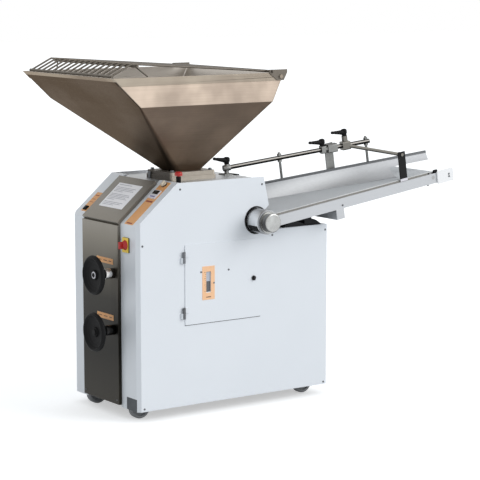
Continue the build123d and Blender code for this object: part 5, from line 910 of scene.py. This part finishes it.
# Rounding trough and its carriage: a bright stainless sheet with a rolled grey hem, hung from a polished
# bar by two nutted posts. Cast clamps under black moulded lever grips set its height; a rubber flap with
# a pale lip hangs at the near rail, and a short rod lies on the top cover.
trough_steel = coat("trough_steel", brushed_sheet,
                    {"Dark": tint(160, 162, 165), "Grain": (3.0, 220.0, 220.0), "Streaks": 0.35,
                     "Roughness": 0.46}, metallic=1.0, bump=0.06)
HEM_LEVEL, DARKER_FROM, DARKER_TO = 0.1010, 0.30, 1.05
tree, source = opened(trough_steel)
hem = sum_up(tree, "GREATER_THAN", level_along(tree, LIFT), LIFT.dot(DRUM) + HEM_LEVEL)
# Painted shade: the sheet darkens towards its far end.
outward = ranged(tree, split(tree, "Object")["X"], DARKER_FROM, DARKER_TO, smooth=True)
sheet = blended(tree, outward, tint(206, 208, 210), tint(180, 182, 185))
tree.links.new(blended(tree, hem, sheet, tint(96, 98, 100)), source.inputs["Color"])
dress("trough", trough_steel)
# Painted highlight and shade on the round bar: a bright band facing the near side, dark towards its edges.
polished = coat("polished_bar", brushed_sheet,
                {"Color": tint(208, 204, 198), "Dark": tint(30, 29, 28), "Grain": (1, 14, 14),
                 "Streaks": 0.12, "Roughness": 0.26, "Facing": (-0.52, -0.79, 0.32), "Facing Depth": 1.0,
                 "Facing Edge": 0.86}, metallic=1.0, bump=0.03)
dress("guide_bar", polished)
# Painted shade on faces turned away from the near side.
cast_bright = coat("cast_bright", brushed_sheet,
                   {"Color": tint(156, 157, 155), "Dark": tint(62, 62, 60), "Grain": (70, 70, 70),
                    "Streaks": 0.4, "Roughness": 0.42, "Facing": (-0.60, -0.76, 0.25), "Facing Depth": 0.9,
                    "Facing Edge": 0.2}, metallic=0.95, bump=0.15)
dress("trough_posts strap_bracket bar_post", cast_bright, PLAIN_EDGE)
# Painted highlight along the rod's top, painted shade below it.
rod_steel = coat("rod_steel", brushed_sheet,
                 {"Color": tint(150, 147, 140), "Dark": tint(44, 43, 40), "Grain": (14, 1, 14),
                  "Streaks": 0.15, "Roughness": 0.3, "Facing": (-0.30, -0.30, 0.90), "Facing Depth": 1.0},
                 metallic=1.0, bump=0.03)
dress("cross_rod", rod_steel)
dress("post_lever strap_lever rod_lever", black_plastic)
LEVER_HUB = ((0.0246, 0), (0.0246, 0.0112), (0.0006, 0.0112), (0.0006, 0.0118), (0.0090, 0.0121),
             (0.0140, 0.0148), (0.0260, 0.0148), (0.0310, 0.0125), (0.0335, 0.0070), (0.0340, 0))
LEVER_ARM = ((0.0080, 0), (0.0080, 0.0125), (0.0300, 0.0096), (0.0550, 0.0076), (0.0600, 0))
LEVER_NECK, LEVER_REACH, LEVER_RISE = 0.0168, 0.070, 0.0112
LEVERS = (("post", (0.13038, -0.00854, 1.0917), Vector((0, 0, 1)), Vector((-1, 0, 0))),
          ("strap", (0.60037, -0.12316, 1.1601), LIFT, -ALONG),
          ("rod", (0.71090, -0.15094, 1.2043), LIFT, -ALONG))
for lever, seat, up, back in LEVERS:
    grip = bmesh.new()
    lathe(grip, LEVER_HUB, seat, up)
    lathe(grip, LEVER_ARM, Vector(seat) + up * LEVER_NECK, back * LEVER_REACH + up * LEVER_RISE)
    fit(lever + "_lever_grip", grip, black_plastic, "lever_" + lever)
dress("flap", black_rubber, PLAIN_EDGE)
SHOE_SEAT = on_rail(806.6, 27.2, -358.8)
flap_shoe = bmesh.new()
plate(flap_shoe, rounded(0.044, 0.0125, 0.002), SHOE_SEAT, ALONG, LIFT, thickness=0.0016, edge=0.0004)
fit("flap_shoe", flap_shoe, pale_plastic, "flap_leaf")
ROD_RADIUS, ROD_PATH = 0.003, ((0.145, 0.002, 1.046), (0.1535, -0.0305, 1.046), (0.162, -0.063, 1.046))
cover_rod = bmesh.new()
wire(cover_rod, [Vector(point) for point in ROD_PATH], ROD_RADIUS)
fit("cover_rod", cover_rod, polished, "cabinet", smooth=60)


# Castors: grey rubber tyres moulded on plain hubs, running in pressed steel forks under the chassis.
# The rear pair is fixed, the front pair swivels under a bent guard, and a rough dark plate closes each
# post's notch in front of it.
tyre_grey = moulding("tyre_grey", tint(128, 129, 131), tint(150, 151, 153), wear=0.5, roughness=0.6, bump=0.2)
dress("near_front_wheel far_front_wheel near_rear_wheel far_rear_wheel", tyre_grey)
fork_steel = coat("fork_steel", brushed_sheet,
                  {"Color": tint(150, 152, 155), "Dark": tint(100, 102, 104), "Grain": (50, 50, 50),
                   "Roughness": 0.42}, metallic=0.9)
dress("castor_mounts near_front_fork far_front_fork", fork_steel, PLAIN_EDGE)
guard_grey = moulding("guard_grey", tint(70, 74, 78), tint(110, 114, 118),
                      wear=0.9, roughness=0.6, bump=0.5, grain=240.0)
NOTCH_FACE, NOTCH_SIDES, NOTCH_LEVEL = -0.5195, (-0.2085, 0.2315), 0.0768
notch_guards = bmesh.new()
for side in NOTCH_SIDES:
    plate(notch_guards, rounded(0.0805, 0.0555, 0.002), (NOTCH_FACE, side, NOTCH_LEVEL), *FACING,
          thickness=0.0020, edge=0.0004)
fit("notch_guards", notch_guards, guard_grey, "cabinet")


# Dividing head and drive behind the panels: bare casting, ground piston, knife and measuring drum, and
# the crank with its connecting rod.
cast_grey = coat("cast_grey", enamel_skin,
                 {"Color": tint(96, 97, 98), "Shade": tint(66, 67, 68), "Dust": 0.8, "Roughness": 0.6},
                 bump=0.5)
dress("head_casting", cast_grey, WIDE_EDGE)
dress("main_piston knife measuring_drum crank_disc con_rod", turned_steel, FINE_EDGE)
